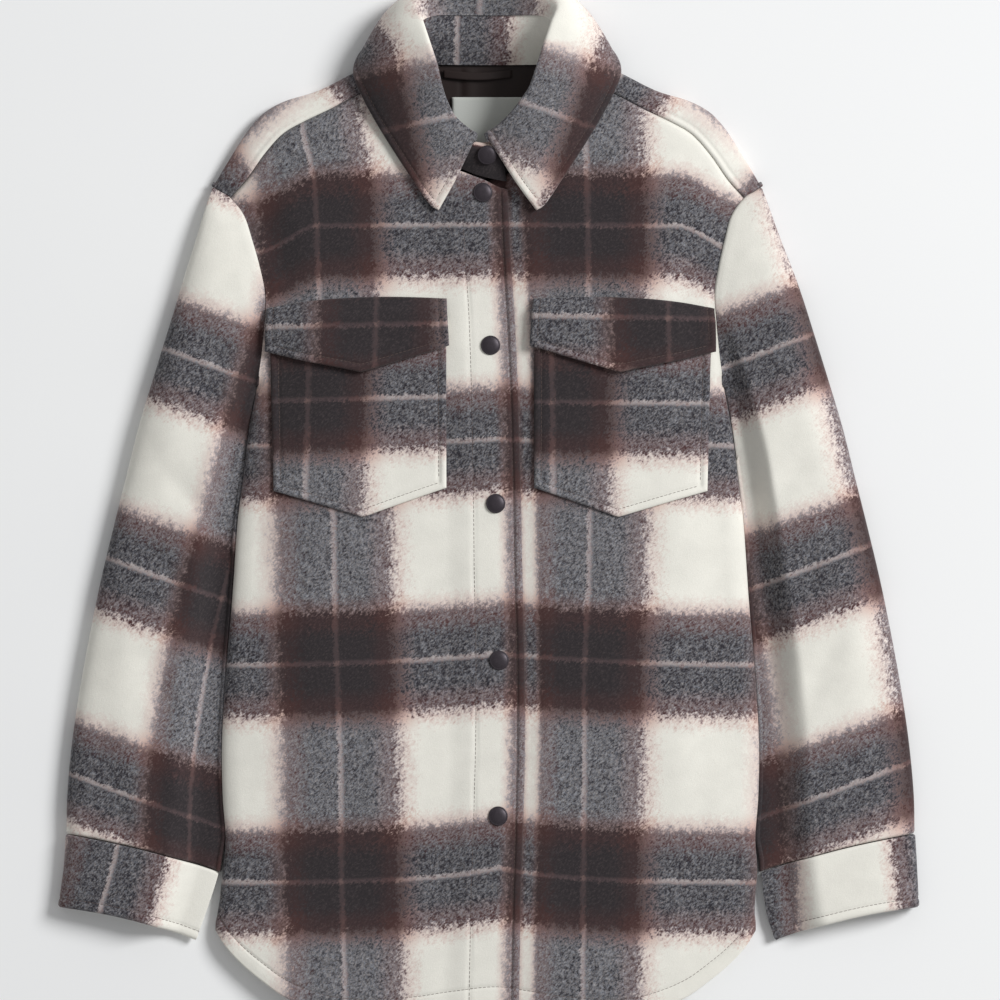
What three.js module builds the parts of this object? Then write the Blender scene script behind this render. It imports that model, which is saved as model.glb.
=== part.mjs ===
// A checked wool shacket (shirt jacket), buttoned up and laid flat with its front up.
// Millimetres. +Z is up from the surface it lies on, +Y towards the collar, +X towards the wearer's left.
// Each piece is a wall of cloth: outer points, the same points moved in by the cloth's thickness, and a rim.

import * as THREE from "three";

// Driving sizes
const CLOTH = 2.2; // wool outer cloth
const DOUBLE_CLOTH = 4.2; // placket, folded on itself
const BAND_CLOTH = 3.2; // cuffs, flaps and collar leaf, two layers pressed together
const STAND_CLOTH = 2.4;
const LINING = 1.0;
const SEAM = 0.3; // gap between two pieces at a seam
const TOP_ROUND = 17; // how far the front's edge takes to round down to the side
const UNDER_ROUND = 12; // the same under the edge
const CROWN_REACH = 70; // how far from the edge the front reaches its full height
const ARMHOLE_DIP = 4.5; // the front sinks this much towards the armhole seam
const ARMHOLE_REACH = 45;
const UNDERARM = 94;
const UNDERARM_GAP = 0.4; // the sleeve's seam opens this much more where it turns at the underarm
const PLACKET_WIDTH = 41;
const OVERLAP_LIFT = 2.1; // the upper front rises over the lower one
const OVERLAP_DROP = 3.2; // and the lower one sinks below it
const OVERLAP_FADE = 22;
const SNAP_RADIUS = 7.8;
const SNAP_HEIGHT = 2.6;
const SNAP_SIDES = 18;
const SNAP_INSET = 20.8; // snap centre from the placket's free edge
const NECK_CORNER_X = 73; // where yoke, front and back neckline meet
const NECK_LOW = 258; // height at which the placket's free edge meets the neckline
const HEM_MIDDLE = -411; // and the hem
const BACK_HEM_SHORT = 1.5; // the back's hem ends this much short of the front's
const COLLAR_SHIFT = 5; // the collar's front ends lie this far over towards the wearer's right
const COLLAR_SHIFT_FROM = 297;
const COLLAR_SHIFT_TO = 345;

const CHECK_BROWN = 0x5f4c4c;
const CHECK_GREY = 0x6b6970;
const LINING_BROWN = 0x3d2a2b;
const LABEL_WHITE = 0xd9dbd6;
const SNAP_METAL = 0x4a474d;

// Tables. Each row is one point, section or station, with its columns named.
const rows = (names, list) => {
  const keys = names.split(" ");
  return list.map((row) => Object.fromEntries(keys.map((key, i) => [key, row[i]])));
};

// Half width of the body below the armhole
const SIDE = rows("y x", [
  [-430, 223], [-352, 222], [-330, 220], [-301, 219.5], [-277, 217.5], [-241, 220], [-196, 220.5],
  [-137, 217], [-78, 212], [-14, 207.5], [13, 204], [54, 199], [94, 192],
]);

// Front armhole seam, from the shoulder tip to the underarm point, where the side seam starts
const ARMHOLE = rows("x y", [
  [225, 259], [222.5, 257.5], [218, 254.8], [211, 250.5], [200, 236], [193.5, 215], [188, 194],
  [184, 172], [185, 150], [188, 120], [190.3, 104], [191.6, 96.5], [192, 94],
]);
const YOKE_CORNER = 3; // the row of ARMHOLE where the yoke's front seam ends
const BACK_CORNER = 4; // and where the seam across the back ends

// Shoulder edge, from the tip to the neck
const SHOULDER = rows("x y", [
  [225, 259], [217, 273], [209, 286], [201, 299], [193, 310], [182, 321], [165, 330], [139, 338],
  [110, 352.5], [NECK_CORNER_X, 370],
]);

// Seam between yoke and front, from the neck to the armhole
const YOKE_SEAM = rows("x y", [
  [NECK_CORNER_X, 349], [90, 341.5], [108, 333.5], [130, 322], [151, 312], [168, 302], [183, 285.5],
  [197, 266], [211, 250.5],
]);

// Front neckline, from past the centre front to the yoke
const NECK = rows("x y", [
  [-18, 256], [-8, 259], [2, 264], [14, 268.5], [30, 275.5], [46.5, 288], [59, 303], [68, 322],
  [NECK_CORNER_X, 349],
]);

const BACK_NECK = rows("x y", [[NECK_CORNER_X, 370], [60, 366.5], [45, 363], [24, 361.3], [0, 361]]);

// Shirt-tail hem, from past the centre front to the side
const HEM = rows("x y", [
  [-25, -412.5], [0, -411.5], [30, -415], [60, -419.5], [90, -421.5], [118, -421], [140, -416], [165, -405.5],
  [183, -393], [200, -379], [214, -364], [222, -352],
]);
const HEM_CORNER = HEM[HEM.length - 1]; // where the hem's curve meets the side

// Free edge of the upper front down the centre
const PLACKET_EDGE = rows("y x", [
  [-412, 23.3], [-326, 24.9], [-290, 26.1], [-208, 28.1], [-133, 28], [-67, 26.3], [17, 24.7],
  [100, 22.2], [185, 18.3], [260, 17.1],
]);

// Sleeve sections, from the armhole down: outer and inner edge, the height between them, the share of the
// armhole's shape that is left, and how far the section bows towards the hand
const SLEEVE = rows("ox oy ix iy high fade bow", [
  [225, 259, 192, 94, 16, 1, 0],
  [230, 246, 196.6, 72, 19, 0.55, 0],
  [240, 216, 201, 46, 22, 0.25, 0],
  [252, 182, 205.5, 16, 24, 0.08, 0],
  [264, 144, 210, -14, 25, 0, 0],
  [277, 102, 213, -46, 25, 0, 0],
  [289, 62, 215.5, -78, 24.5, 0, 0],
  [300, 18, 218.5, -110, 24, 0, 0],
  [310, -22, 221, -142, 24, 0, 0],
  [320, -64, 223, -174, 23.5, 0, 0],
  [329, -108, 224, -204, 23, 0, 0.5],
  [337, -152, 224, -232, 22.5, 0, 1],
  [343.5, -196, 222.8, -258, 22, 0, 1.8],
  [347.5, -238, 221.8, -282, 21.5, 0, 2.6],
  [348.3, -271.5, 222.5, -303.2, 21, 0, 3.2],
]);
const CUFF = rows("ox oy ix iy high fade bow", [
  [348.8, -272.1, 222.6, -303.8, 22.5, 0, 3.2],
  [350, -292, 226.5, -322, 22.5, 0, 3.6],
  [351, -312, 231.5, -341, 22.5, 0, 4],
  [352, -332, 238, -359.5, 22, 0, 4.4],
]);
// Where the points of a sleeve's section lie between its outer and inner edges
const ACROSS = [0, 0.02, 0.07, 0.16, 0.28, 0.4, 0.52, 0.64, 0.75, 0.86, 0.94, 0.985, 1];
const SLEEVE_SQUARENESS = 3.6; // power of a section's outline: 2 is an ellipse, more is squarer
// Beside the body a sleeve's inner side is pressed flat: the share across where this starts and how much
// further it is full, the height below which it starts and over how much, and the height that is left
const TUCK = { from: 0.64, over: 0.24, below: 190, fade: 90, share: 0.9, left: 0.08 };

// Collar stand, from past the centre front to the centre back: its sewn base and its top
const STAND = rows("bx by bz tx ty tz", [
  [-16, 263, 22.9, -16, 290, 28.2],
  [0, 266.5, 22, 0, 293, 28],
  [14, 271, 20.6, 9.5, 295.5, 28.5],
  [29, 278.5, 19.4, 20, 304.5, 31.5],
  [44.3, 290.5, 18.6, 30, 317, 35],
  [56.5, 305, 18, 37, 330, 38],
  [65.5, 323.5, 17, 42, 344, 40.5],
  [69.7, 346, 15.5, 47, 359, 41.5],
  [69, 362, 13, 52, 375, 40.5],
  [60, 361.5, 8.5, 55, 390, 35],
  [45, 360.3, 6.2, 44, 397, 23],
  [24, 359.7, 5.6, 24, 398.3, 15],
  [0, 359.5, 5.6, 0, 398.5, 13],
]);

// Collar leaf, from its front edge to the centre back: sewn edge a, roll r, fall m and n, free edge e
const LEAF = rows("ax ay az rx ry rz mx my mz nx ny nz ex ey ez", [
  [4.5, 294.5, 31, 3, 301, 31.8, 12, 285, 31.8, 25, 262, 28.8, 40, 239, 25.4],
  [10, 297.5, 30.6, 12, 305, 34, 24, 289, 33.5, 37, 266, 29.5, 48, 245, 25.2],
  [20.5, 306, 33.6, 24, 316, 39, 38, 302, 37, 52, 285, 31, 63, 267, 24.8],
  [30.8, 318.6, 37, 32, 328, 43, 49, 318, 39.5, 65, 304, 32, 78, 290, 24.2],
  [37.6, 331.3, 39.9, 38.3, 341, 46, 58, 336, 41.5, 78, 325, 33, 92, 313, 23.6],
  [42.4, 345, 42.3, 43.5, 359.5, 48.5, 64, 356, 43, 87, 346, 33, 104, 336, 21.5],
  [47.3, 360, 42.8, 49, 376.7, 48, 69, 374, 42, 93, 366, 30, 109.5, 354, 15.5],
  [52.2, 376, 41.7, 54, 392, 44.5, 73, 390, 38, 94, 381, 22, 102, 369, 6.5],
  [55, 391.3, 36, 58.5, 407, 36.5, 73, 406.5, 28, 84, 398, 11, 84, 375, 2.1],
  [44, 398.3, 24, 48, 416.5, 27.5, 59, 418, 16, 64, 408, 3.4, 60, 371.5, 2.1],
  [24, 399.6, 16, 26, 420, 21.5, 30, 421, 10.5, 31, 409, 2.4, 30, 367.5, 2.1],
  [0, 399.8, 14, 0, 420, 19.5, 0, 421, 9.5, 0, 408, 2.3, 0, 367, 2.1],
]);
const STAND_BULGE = 1.6; // the stand's middle stands out of the straight line from base to top
const STAND_DROP = 6.4; // the wearer's left end of the stand lies under the right one
const STAND_LOWER_END = -11; // x at which that lower end stops
const STAND_DROP_ROWS = 4; // rows of STAND over which it comes back up
const STAND_ACROSS = [0, 0.5, 1]; // places of its points from base to top
const LEAF_SHIFT = { a: 1, r: 1, m: 0.7, n: 0.35, e: 0 }; // share of the collar's shift in each column
const LEAF_STEPS = 9;

// Pocket and flap outlines on the wearer's left, from the inner edge to the outer one: top and bottom
const POCKET = rows("x top low", [
  [36, 150, 12], [58, 150, 4.5], [81, 149.5, -3.6], [104.4, 149, -12], [128, 147.5, -5],
  [153, 145.5, 2.4], [177.5, 143, 9.3],
]);
const POCKET_FLARE = 3.5; // the pocket's outer edge leans out towards its top
const FLAP = rows("x top low", [
  [33, 167, 128.5], [57, 168, 121], [82, 168.5, 113.5], [106, 168, 106.5], [132, 166.5, 112],
  [158, 163.5, 117.5], [183.5, 159, 123.4],
]);
const FLAP_NARROW = 2.4; // the flap's inner edge is this much shorter at its sewn top
const FLAP_CLIMB = 0.3; // share of the flap's depth in which it climbs over the pocket
const FLAP_STAND_OFF = 1.2; // and how far its point stands off the pocket

const SNAP_Y = [253.8, 128.7, -0.8, -129.2, -256.7];
const STAND_SNAP = 0.7; // share of the stand's depth at which the top snap sits
// A snap's half profile, as shares of its radius and height: flat foot, rounded rim, shallow dome
const SNAP_PROFILE = rows("out up", [
  [0, 0], [0.91, 0], [1, 0.31], [0.95, 0.58], [0.7, 0.865], [0.35, 1], [0, 1],
]);

// Inside the back of the neck: lining, hang loop and blank label
const LINING_OUTLINE = rows("x y", [
  [-58, 268], [58, 268], [66, 300], [66, 345], [56, 360], [0, 358.4], [-56, 360], [-66, 345], [-66, 300],
]);
const LOOP = {
  left: -36, right: 20, top: 355.4, width: 6.5, sag: 2.2, z: 4.4, lift: 1.4, tilt: 0.6, steps: 10,
};
const LABEL = { left: -29, right: 35, top: 333, low: 293, z: 4.5, curl: 3, steps: 6 };

// Above the armholes the garment lies this far over towards the wearer's right
const LEAN = -2.7;
const LEAN_FROM = 150;
const LEAN_TO = 260;
// and so do its sides near the hem, with the hand end of the right sleeve
const HEM_LEAN = { most: -4, from: -290, to: -350, middle: 60, side: 150, cuff: 240, hand: 300 };

// Small functions
const ease = (t) => {
  const c = Math.min(1, Math.max(0, t));
  return c * c * (3 - 2 * c);
};
const mix = (a, b, t) => a + (b - a) * t;
const arch = (t) => Math.sqrt(Math.max(0, 1 - (1 - Math.min(1, t)) ** 2));

// Value of a table's column at a place in another, by a cubic through the rows
function along(table, key, value, at) {
  const last = table.length - 2;
  let i = 0;
  while (i < last && at > table[i + 1][key]) i++;
  const [p, q] = [table[i], table[i + 1]];
  const before = table[Math.max(0, i - 1)];
  const after = table[Math.min(table.length - 1, i + 2)];
  const span = q[key] - p[key];
  const t = (at - p[key]) / span;
  const slopeP = (q[value] - before[value]) / (q[key] - before[key]);
  const slopeQ = (after[value] - p[value]) / (after[key] - p[key]);
  const [t2, t3] = [t * t, t * t * t];
  return (2 * t3 - 3 * t2 + 1) * p[value] + (t3 - 2 * t2 + t) * span * slopeP
    + (3 * t2 - 2 * t3) * q[value] + (t3 - t2) * span * slopeQ;
}

// A point at a share of a table's length, along straight lines between its rows
function atShare(points, share) {
  const lengths = points.slice(1).map((p, i) => Math.hypot(p.x - points[i].x, p.y - points[i].y));
  let left = share * lengths.reduce((a, b) => a + b, 0);
  let i = 0;
  while (i < lengths.length - 1 && left > lengths[i]) left -= lengths[i++];
  const t = left / lengths[i];
  return { x: mix(points[i].x, points[i + 1].x, t), y: mix(points[i].y, points[i + 1].y, t) };
}

// A curve through control points, at t from 0 to 1
function curveThrough(points, t) {
  return new THREE.CatmullRomCurve3(points, false, "catmullrom", 0.5).getPoint(t);
}

const rampUp = (value, from, to) => ease((value - from) / (to - from));
const hemLean = (x, y) => HEM_LEAN.most * rampUp(y, HEM_LEAN.from, HEM_LEAN.to)
  * rampUp(Math.abs(x), HEM_LEAN.middle, HEM_LEAN.side) * (1 - rampUp(x, HEM_LEAN.cuff, HEM_LEAN.hand));
const lean = (x, y) => LEAN * rampUp(y, LEAN_FROM, LEAN_TO) + hemLean(x, y);
const collarShift = (y) => COLLAR_SHIFT * (1 - rampUp(y, COLLAR_SHIFT_FROM, COLLAR_SHIFT_TO));

// The body's edge seen from above, on one side, and the distance from it
const sideX = (y) => along(SIDE, "y", "x", y);
const SIDE_LINE = SIDE.map((p) => p.y).flatMap((y, i, all) => (i ? [mix(all[i - 1], y, 0.5), y] : [y]))
  .map((y) => ({ x: sideX(y), y }));

function toEdge(x, y) {
  const fromSide = distanceTo(SIDE_LINE, Math.abs(x), y);
  const fromShoulder = distanceTo(SHOULDER, Math.abs(x), y);
  return fromSide.d < fromShoulder.d ? fromSide : fromShoulder;
}

function distanceTo(line, x, y) {
  let best = { d: Infinity, nx: 0, ny: 0 };
  for (let i = 1; i < line.length; i++) {
    const [a, b] = [line[i - 1], line[i]];
    const [dx, dy] = [b.x - a.x, b.y - a.y];
    const t = Math.min(1, Math.max(0, ((x - a.x) * dx + (y - a.y) * dy) / (dx * dx + dy * dy)));
    const [ox, oy] = [x - a.x - t * dx, y - a.y - t * dy];
    const d = Math.hypot(ox, oy);
    const long = Math.hypot(dx, dy);
    if (d < best.d) best = { d, nx: -dy / long, ny: dx / long };
  }
  return best;
}

// Heights of the body: it grows thicker from the hem upwards
const HEM_LEVEL = -420;
const EDGE = { low: 13, grows: 2, over: 250 };
const CROWN = { low: 3.5, grows: 3, over: 300 };
const grown = (size, y) => size.low + size.grows * ease((y - HEM_LEVEL) / size.over);
const edgeHigh = (y) => grown(EDGE, y);
const edgeMiddle = (y) => edgeHigh(y) / 2;
const crown = (y) => grown(CROWN, y);

function topFull(x, y) {
  const fromEdge = toEdge(x, y).d;
  const fromArmhole = distanceTo(ARMHOLE, Math.abs(x), y).d;
  return edgeHigh(y) + crown(y) * ease(fromEdge / CROWN_REACH)
    - ARMHOLE_DIP * ease((y - UNDERARM) / ARMHOLE_REACH) * (1 - ease(fromArmhole / ARMHOLE_REACH));
}

function topHeight(x, y) {
  const middle = edgeMiddle(y);
  const fromEdge = toEdge(x, y).d;
  return middle + (topFull(x, y) - middle) * arch(fromEdge / TOP_ROUND);
}

// Share of the overlap of the two fronts at a place: 1 inside it, 0 well away
function overlap(x, y) {
  const half = PLACKET_WIDTH / 2;
  const middle = placketX(y) - half;
  return 1 - ease((Math.abs(x - middle) - half) / OVERLAP_FADE);
}
const placketX = (y) => along(PLACKET_EDGE, "y", "x", y);

// Outer points and outward normals on the top and the underside of the body
const SLOPE_STEP = 0.5;
function normalOf(height, x, y) {
  const step = SLOPE_STEP;
  return new THREE.Vector3(
    (height(x - step, y) - height(x + step, y)) / (2 * step),
    (height(x, y - step) - height(x, y + step)) / (2 * step),
    1,
  ).normalize();
}

function roundedNormal(x, y, z, reach, up) {
  const near = toEdge(x, y);
  const middle = edgeMiddle(y);
  const high = up ? topFull(x, y) - middle : middle;
  const share = (1 - near.d / reach) / reach;
  const side = Math.sign(x) || 1;
  return new THREE.Vector3(-side * share * near.nx, -share * near.ny, (z - middle) / high ** 2).normalize();
}

function topPoint(height) {
  return (x, y) => {
    const z = height(x, y);
    const near = toEdge(x, y);
    const normal = near.d < TOP_ROUND
      ? roundedNormal(x, y, z, TOP_ROUND, true)
      : normalOf(height, x, y);
    return { outer: new THREE.Vector3(x, y, z), normal };
  };
}

function underPoint(x, y) {
  const near = toEdge(x, y);
  const z = edgeMiddle(y) * (1 - arch(near.d / UNDER_ROUND));
  const normal = near.d < UNDER_ROUND
    ? roundedNormal(x, y, z, UNDER_ROUND, false)
    : new THREE.Vector3(0, 0, -1);
  return { outer: new THREE.Vector3(x, y, z), normal };
}

// Closed walls
const SAME_POINT = 0.01; // points nearer than this are one
const SAME_CORNER = 0.3; // and the same for a patch's corners, which would leave slivers

// A solid from a surface: each point has an outer and an inner place, each face is a list of corners
function wall(points, faces, nearest = SAME_POINT) {
  const kept = [];
  const index = points.map((p) => {
    const same = kept.findIndex((q) => q.outer.distanceTo(p.outer) < nearest);
    return same < 0 ? kept.push(p) - 1 : same;
  });
  const count = kept.length;
  const triangles = [];
  const edges = new Map();
  const addTriangle = (a, b, c) => {
    if (a === b || b === c || c === a) return;
    triangles.push(a, b, c, a + count, c + count, b + count);
    for (const [from, to] of [[a, b], [b, c], [c, a]]) {
      if (!edges.delete(`${to} ${from}`)) edges.set(`${from} ${to}`, [from, to]);
    }
  };
  for (const [a, b, c, d] of faces) {
    addTriangle(index[a], index[b], index[c]);
    if (d !== undefined) addTriangle(index[a], index[c], index[d]);
  }
  for (const [from, to] of edges.values()) {
    triangles.push(from, from + count, to, to, from + count, to + count);
  }
  const positions = [...kept.map((p) => p.outer), ...kept.map((p) => p.inner)]
    .flatMap((v) => [v.x + lean(v.x, v.y), v.y, v.z]);
  const geometry = new THREE.BufferGeometry();
  geometry.setAttribute("position", new THREE.BufferAttribute(new Float32Array(positions), 3));
  geometry.setIndex(triangles);
  geometry.computeVertexNormals();
  return geometry;
}

const turnedOver = ([a, b, c, d]) => (d === undefined ? [a, c, b] : [a, d, c, b]);

// Faces of a grid of points held row by row, turned over or not
function gridFaces(height, width, flip = false, start = 0) {
  const faces = [];
  for (let j = 0; j + 1 < height; j++) {
    for (let i = 0; i + 1 < width; i++) {
      const a = start + j * width + i;
      const face = [a, a + width, a + width + 1, a + 1];
      faces.push(flip ? turnedOver(face) : face);
    }
  }
  return faces;
}

const moved = (p, distance) => p.outer.clone().addScaledVector(p.normal, distance);

// Gives each point its inner partner
const thicken = (points, thickness) => points.map((p) => ({
  ...p,
  inner: moved(p, typeof thickness === "function" ? -thickness(p) : -thickness),
}));

const mirrored = (v) => new THREE.Vector3(-v.x, v.y, v.z);
const mirrorPoints = (points) => points.map((p) => ({ outer: mirrored(p.outer), inner: mirrored(p.inner) }));

// Pattern grids: rows down the length, columns from the centre to the side
const COLUMNS = [0, 0.07, 0.142, 0.19, 0.26, 0.35, 0.44, 0.54, 0.64, 0.74, 0.83, 0.89, 0.935, 0.97, 0.99, 1];
const NECK_COLUMN = 5; // the column that meets the yoke's neck corner
const BACK_COLUMNS = [0, 0.3, 0.6, 0.82, 0.91, 0.95, 0.975, 0.99, 1];
const SIDE_ROWS = [UNDERARM, 54, 13, -28, -69, -110, -151, -192, -233, -270, -300, -328, HEM_CORNER.y];
const YOKE_OVER = [0, 0.5, 0.82, 1]; // the yoke's rows from its front seam to the shoulder edge
const YOKE_UNDER = [2.9, 8.2, 16.4]; // and underneath, in millimetres from that edge
const NECK_STEP = 3; // points of the neckline nearer than this to the placket's edge are left out
const SEAM_REACH = 0.4; // points this near the edge lie on the side seam
const PLACKET_STEP = 4; // width over which the placket's doubled cloth begins

const armholeBelow = (first) => ARMHOLE.slice(first);
const offSeam = (p, distance) => {
  const near = distanceTo(ARMHOLE, p.x, p.y);
  return { x: p.x + near.nx * distance, y: p.y + near.ny * distance };
};

// Points down the outer boundary of a front or the back: the armhole below a corner, then the side
function outerBoundary(first) {
  const arm = armholeBelow(first).map((p, i, all) => (i === all.length - 1 ? p : shiftTowardsBody(p)));
  return [...arm, ...SIDE_ROWS.slice(1).map((y) => ({ x: sideX(y), y }))];
}

function shiftTowardsBody(p) {
  return offSeam(p, -SEAM / 2);
}

function topBoundary(centreX, share) {
  const start = { x: centreX, y: along(NECK, "x", "y", centreX) };
  const neck = [start, ...NECK.filter((p) => p.x > centreX + NECK_STEP)];
  const corner = COLUMNS[NECK_COLUMN];
  return share <= corner
    ? atShare(neck, share / corner)
    : atShare(YOKE_SEAM, (share - corner) / (1 - corner));
}

function coons(left, right, top, low, shares) {
  const grid = [];
  const rowsDown = right.length;
  const lengths = right.map((p, i) => (i ? Math.hypot(p.x - right[i - 1].x, p.y - right[i - 1].y) : 0));
  const whole = lengths.reduce((a, b) => a + b, 0);
  let gone = 0;
  for (let j = 0; j < rowsDown; j++) {
    gone += lengths[j];
    const v = gone / whole;
    const [l, r] = [left(v), right[j]];
    grid.push(shares.map((u) => {
      const point = {};
      for (const k of ["x", "y"]) {
        const corners = mix(mix(top(0)[k], top(1)[k], u), mix(low(0)[k], low(1)[k], u), v);
        point[k] = mix(top(u)[k], low(u)[k], v) + mix(l[k], r[k], u) - corners;
      }
      return point;
    }));
  }
  return grid;
}

// A front's plan grid on the wearer's left. centre(y) is its free edge at the centre front.
function frontPlan(centre) {
  const neckX = centre(NECK_LOW);
  const neckY = along(NECK, "x", "y", neckX);
  const hemX = centre(HEM_MIDDLE);
  const hemY = along(HEM, "x", "y", hemX);
  const right = outerBoundary(YOKE_CORNER);
  const top = (u) => {
    const p = topBoundary(neckX, u);
    return u >= COLUMNS[NECK_COLUMN] ? { x: p.x, y: p.y - SEAM / 2 } : p;
  };
  const low = (u) => {
    const x = mix(hemX, HEM_CORNER.x, u);
    return { x, y: along(HEM, "x", "y", x) };
  };
  const left = (v) => {
    const y = mix(neckY, hemY, v);
    return { x: centre(y), y };
  };
  right[0] = top(1);
  right[right.length - 1] = low(1);
  return coons(left, right, top, low, COLUMNS);
}

// Heights of the two fronts
const upperHeight = (x, y) => topHeight(x, y) + OVERLAP_LIFT * overlap(x, y);
const lowerHeight = (x, y) => topHeight(x, y) - OVERLAP_DROP * overlap(x, y);

function frontWall(plan, height, side, thickness) {
  const place = topPoint(height);
  const flat = plan.flat().map((p) => place(side * p.x, p.y));
  return wall(thicken(flat, thickness), gridFaces(plan.length, plan[0].length, side < 0));
}

const lowerPlan = frontPlan((y) => placketX(y) - PLACKET_WIDTH + 1);
const upperPlan = frontPlan((y) => -placketX(y));

function frontLeft() {
  return frontWall(lowerPlan, lowerHeight, 1, CLOTH);
}

function frontRight() {
  const thickness = (p) => mix(CLOTH, DOUBLE_CLOTH,
    ease((p.outer.x - placketX(p.outer.y) + PLACKET_WIDTH + PLACKET_STEP) / PLACKET_STEP));
  return frontWall(upperPlan, upperHeight, -1, thickness);
}

// The back: one wall from underarm to underarm, below the seam across the shoulder blades
function back() {
  const right = outerBoundary(BACK_CORNER);
  const topY = right[0].y - SEAM / 2;
  const hemAt = (x) => along(HEM, "x", "y", x) + BACK_HEM_SHORT;
  const top = (u) => ({ x: mix(0, right[0].x, u), y: topY });
  const low = (u) => {
    const x = mix(0, HEM_CORNER.x, u);
    return { x, y: u === 1 ? HEM_CORNER.y : hemAt(x) };
  };
  const left = (v) => ({ x: 0, y: mix(topY, low(0).y, v) });
  right[0] = top(1);
  right[right.length - 1] = low(1);
  const half = coons(left, right, top, low, BACK_COLUMNS);
  // The side seam runs just under the edge
  const lower = (p) => {
    const made = underPoint(p.x, p.y);
    const onEdge = toEdge(p.x, p.y).d < SEAM_REACH;
    if (onEdge) made.outer.z -= SEAM;
    return made;
  };
  const plan = half.map((row) => [
    ...row.slice(1).reverse().map((p) => ({ x: -p.x, y: p.y })),
    ...row,
  ]);
  return wall(thicken(plan.flat().map(lower), CLOTH), gridFaces(plan.length, plan[0].length, true));
}

// The yoke: over each shoulder from the front seam, and across the back
function yoke() {
  const seamY = ARMHOLE[BACK_CORNER].y + SEAM / 2;
  const columns = COLUMNS.slice(NECK_COLUMN);
  const first = columns[0];
  const place = topPoint(topHeight);
  const frontEdge = (u) => {
    const p = topBoundary(0, u);
    return { x: p.x, y: p.y + SEAM / 2 };
  };
  const tipFirst = [...SHOULDER].reverse();
  const rowsPerColumn = YOKE_OVER.length + YOKE_UNDER.length + 1;
  const shoulder = columns.map((u) => {
    const share = (u - first) / (1 - first);
    const seam = frontEdge(u);
    const edge = atShare(tipFirst, share);
    const line = YOKE_OVER.map((t) => place(mix(seam.x, edge.x, t), mix(seam.y, edge.y, t)));
    const end = { x: mix(NECK_CORNER_X, ARMHOLE[BACK_CORNER].x, share), y: seamY };
    const long = Math.hypot(end.x - edge.x, end.y - edge.y);
    const steps = [...YOKE_UNDER.map((d) => d / long), 1];
    return [...line, ...steps.map((t) => underPoint(mix(edge.x, end.x, t), mix(edge.y, end.y, t)))];
  });
  // The last column is the armhole seam itself
  const arm = ARMHOLE.slice(0, BACK_CORNER + 1).map(shiftTowardsBody);
  const tip = arm[0];
  const lastTop = [arm[3], arm[2], arm[1]].map((p) => place(p.x, p.y));
  const lastUnder = [arm[1], arm[2], arm[3], { x: arm[4].x, y: seamY }].map((p) => underPoint(p.x, p.y));
  shoulder[shoulder.length - 1] = [...lastTop, place(tip.x, tip.y), ...lastUnder];
  // Across the back, from the neck column to the centre
  const neckColumn = shoulder[0].slice(YOKE_OVER.length - 1);
  const reach = neckColumn.map((p) => (neckColumn[0].outer.y - p.outer.y) / (neckColumn[0].outer.y - seamY));
  const across = [...BACK_NECK].reverse().map((n) => (n.x === NECK_CORNER_X
    ? neckColumn
    : reach.map((t) => underPoint(n.x, mix(n.y, seamY, t)))));
  const half = [];
  const faces = [];
  for (const line of shoulder) half.push(...thicken(line, CLOTH));
  faces.push(...gridFaces(shoulder.length, rowsPerColumn));
  const start = half.length;
  for (const line of across) half.push(...thicken(line, CLOTH));
  faces.push(...gridFaces(across.length, reach.length, false, start));
  const count = half.length;
  const other = faces.map((face) => face.map((i) => i + count).reverse());
  return wall([...half, ...mirrorPoints(half)], [...faces, ...other]);
}

// Sleeves and cuffs: rings of points, over the top to the inner edge and back underneath
function ringOf(section, thickness) {
  const chord = (q) => ({ x: mix(section.ox, section.ix, q), y: mix(section.oy, section.iy, q) });
  const first = SLEEVE[0];
  const middle = edgeMiddle(section.oy);
  const last = ARMHOLE.length - 1;
  const armPoint = ARMHOLE.map((p, k) => offSeam(p, SEAM / 2 + UNDERARM_GAP * (k / last) ** 4));
  const long = Math.hypot(section.ix - section.ox, section.iy - section.oy);
  const down = { x: (section.iy - section.oy) / long, y: -(section.ix - section.ox) / long };
  const way = down.y < 0 ? 1 : -1;
  const ring = [];
  const top = ACROSS.map((q, k) => {
    const plain = chord(q);
    const start = { x: mix(first.ox, first.ix, q), y: mix(first.oy, first.iy, q) };
    const bowed = section.bow * 4 * q * (1 - q) * way;
    const x = plain.x + section.fade * (armPoint[k].x - start.x) + down.x * bowed;
    const y = plain.y + section.fade * (armPoint[k].y - start.y) + down.y * bowed;
    const across = Math.abs(2 * q - 1);
    const full = middle + (section.high - middle) * Math.sqrt(Math.max(0, 1 - across ** SLEEVE_SQUARENESS));
    const tucked = TUCK.share * ease((q - TUCK.from) / TUCK.over) * ease((TUCK.below - y) / TUCK.fade);
    const own = mix(full, 2 * thickness + SEAM + TUCK.left * full, tucked);
    const z = mix(own, topHeight(x, y), section.fade);
    const near = Math.min(q, 1 - q) * long;
    const low = middle * (1 - arch(near / UNDER_ROUND));
    const under = mix(low, underPoint(x, y).outer.z, section.fade);
    return { x, y, z, under };
  });
  for (const p of top) ring.push(new THREE.Vector3(p.x, p.y, p.z));
  for (const p of top.slice(1, -1).reverse()) ring.push(new THREE.Vector3(p.x, p.y, p.under));
  return ring;
}

// At the armhole a sleeve's cloth stands as the body's does, so their cut edges face each other
function bodyNormal(p, over) {
  return over ? topPoint(topHeight)(p.x, p.y).normal : underPoint(p.x, p.y).normal;
}

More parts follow.
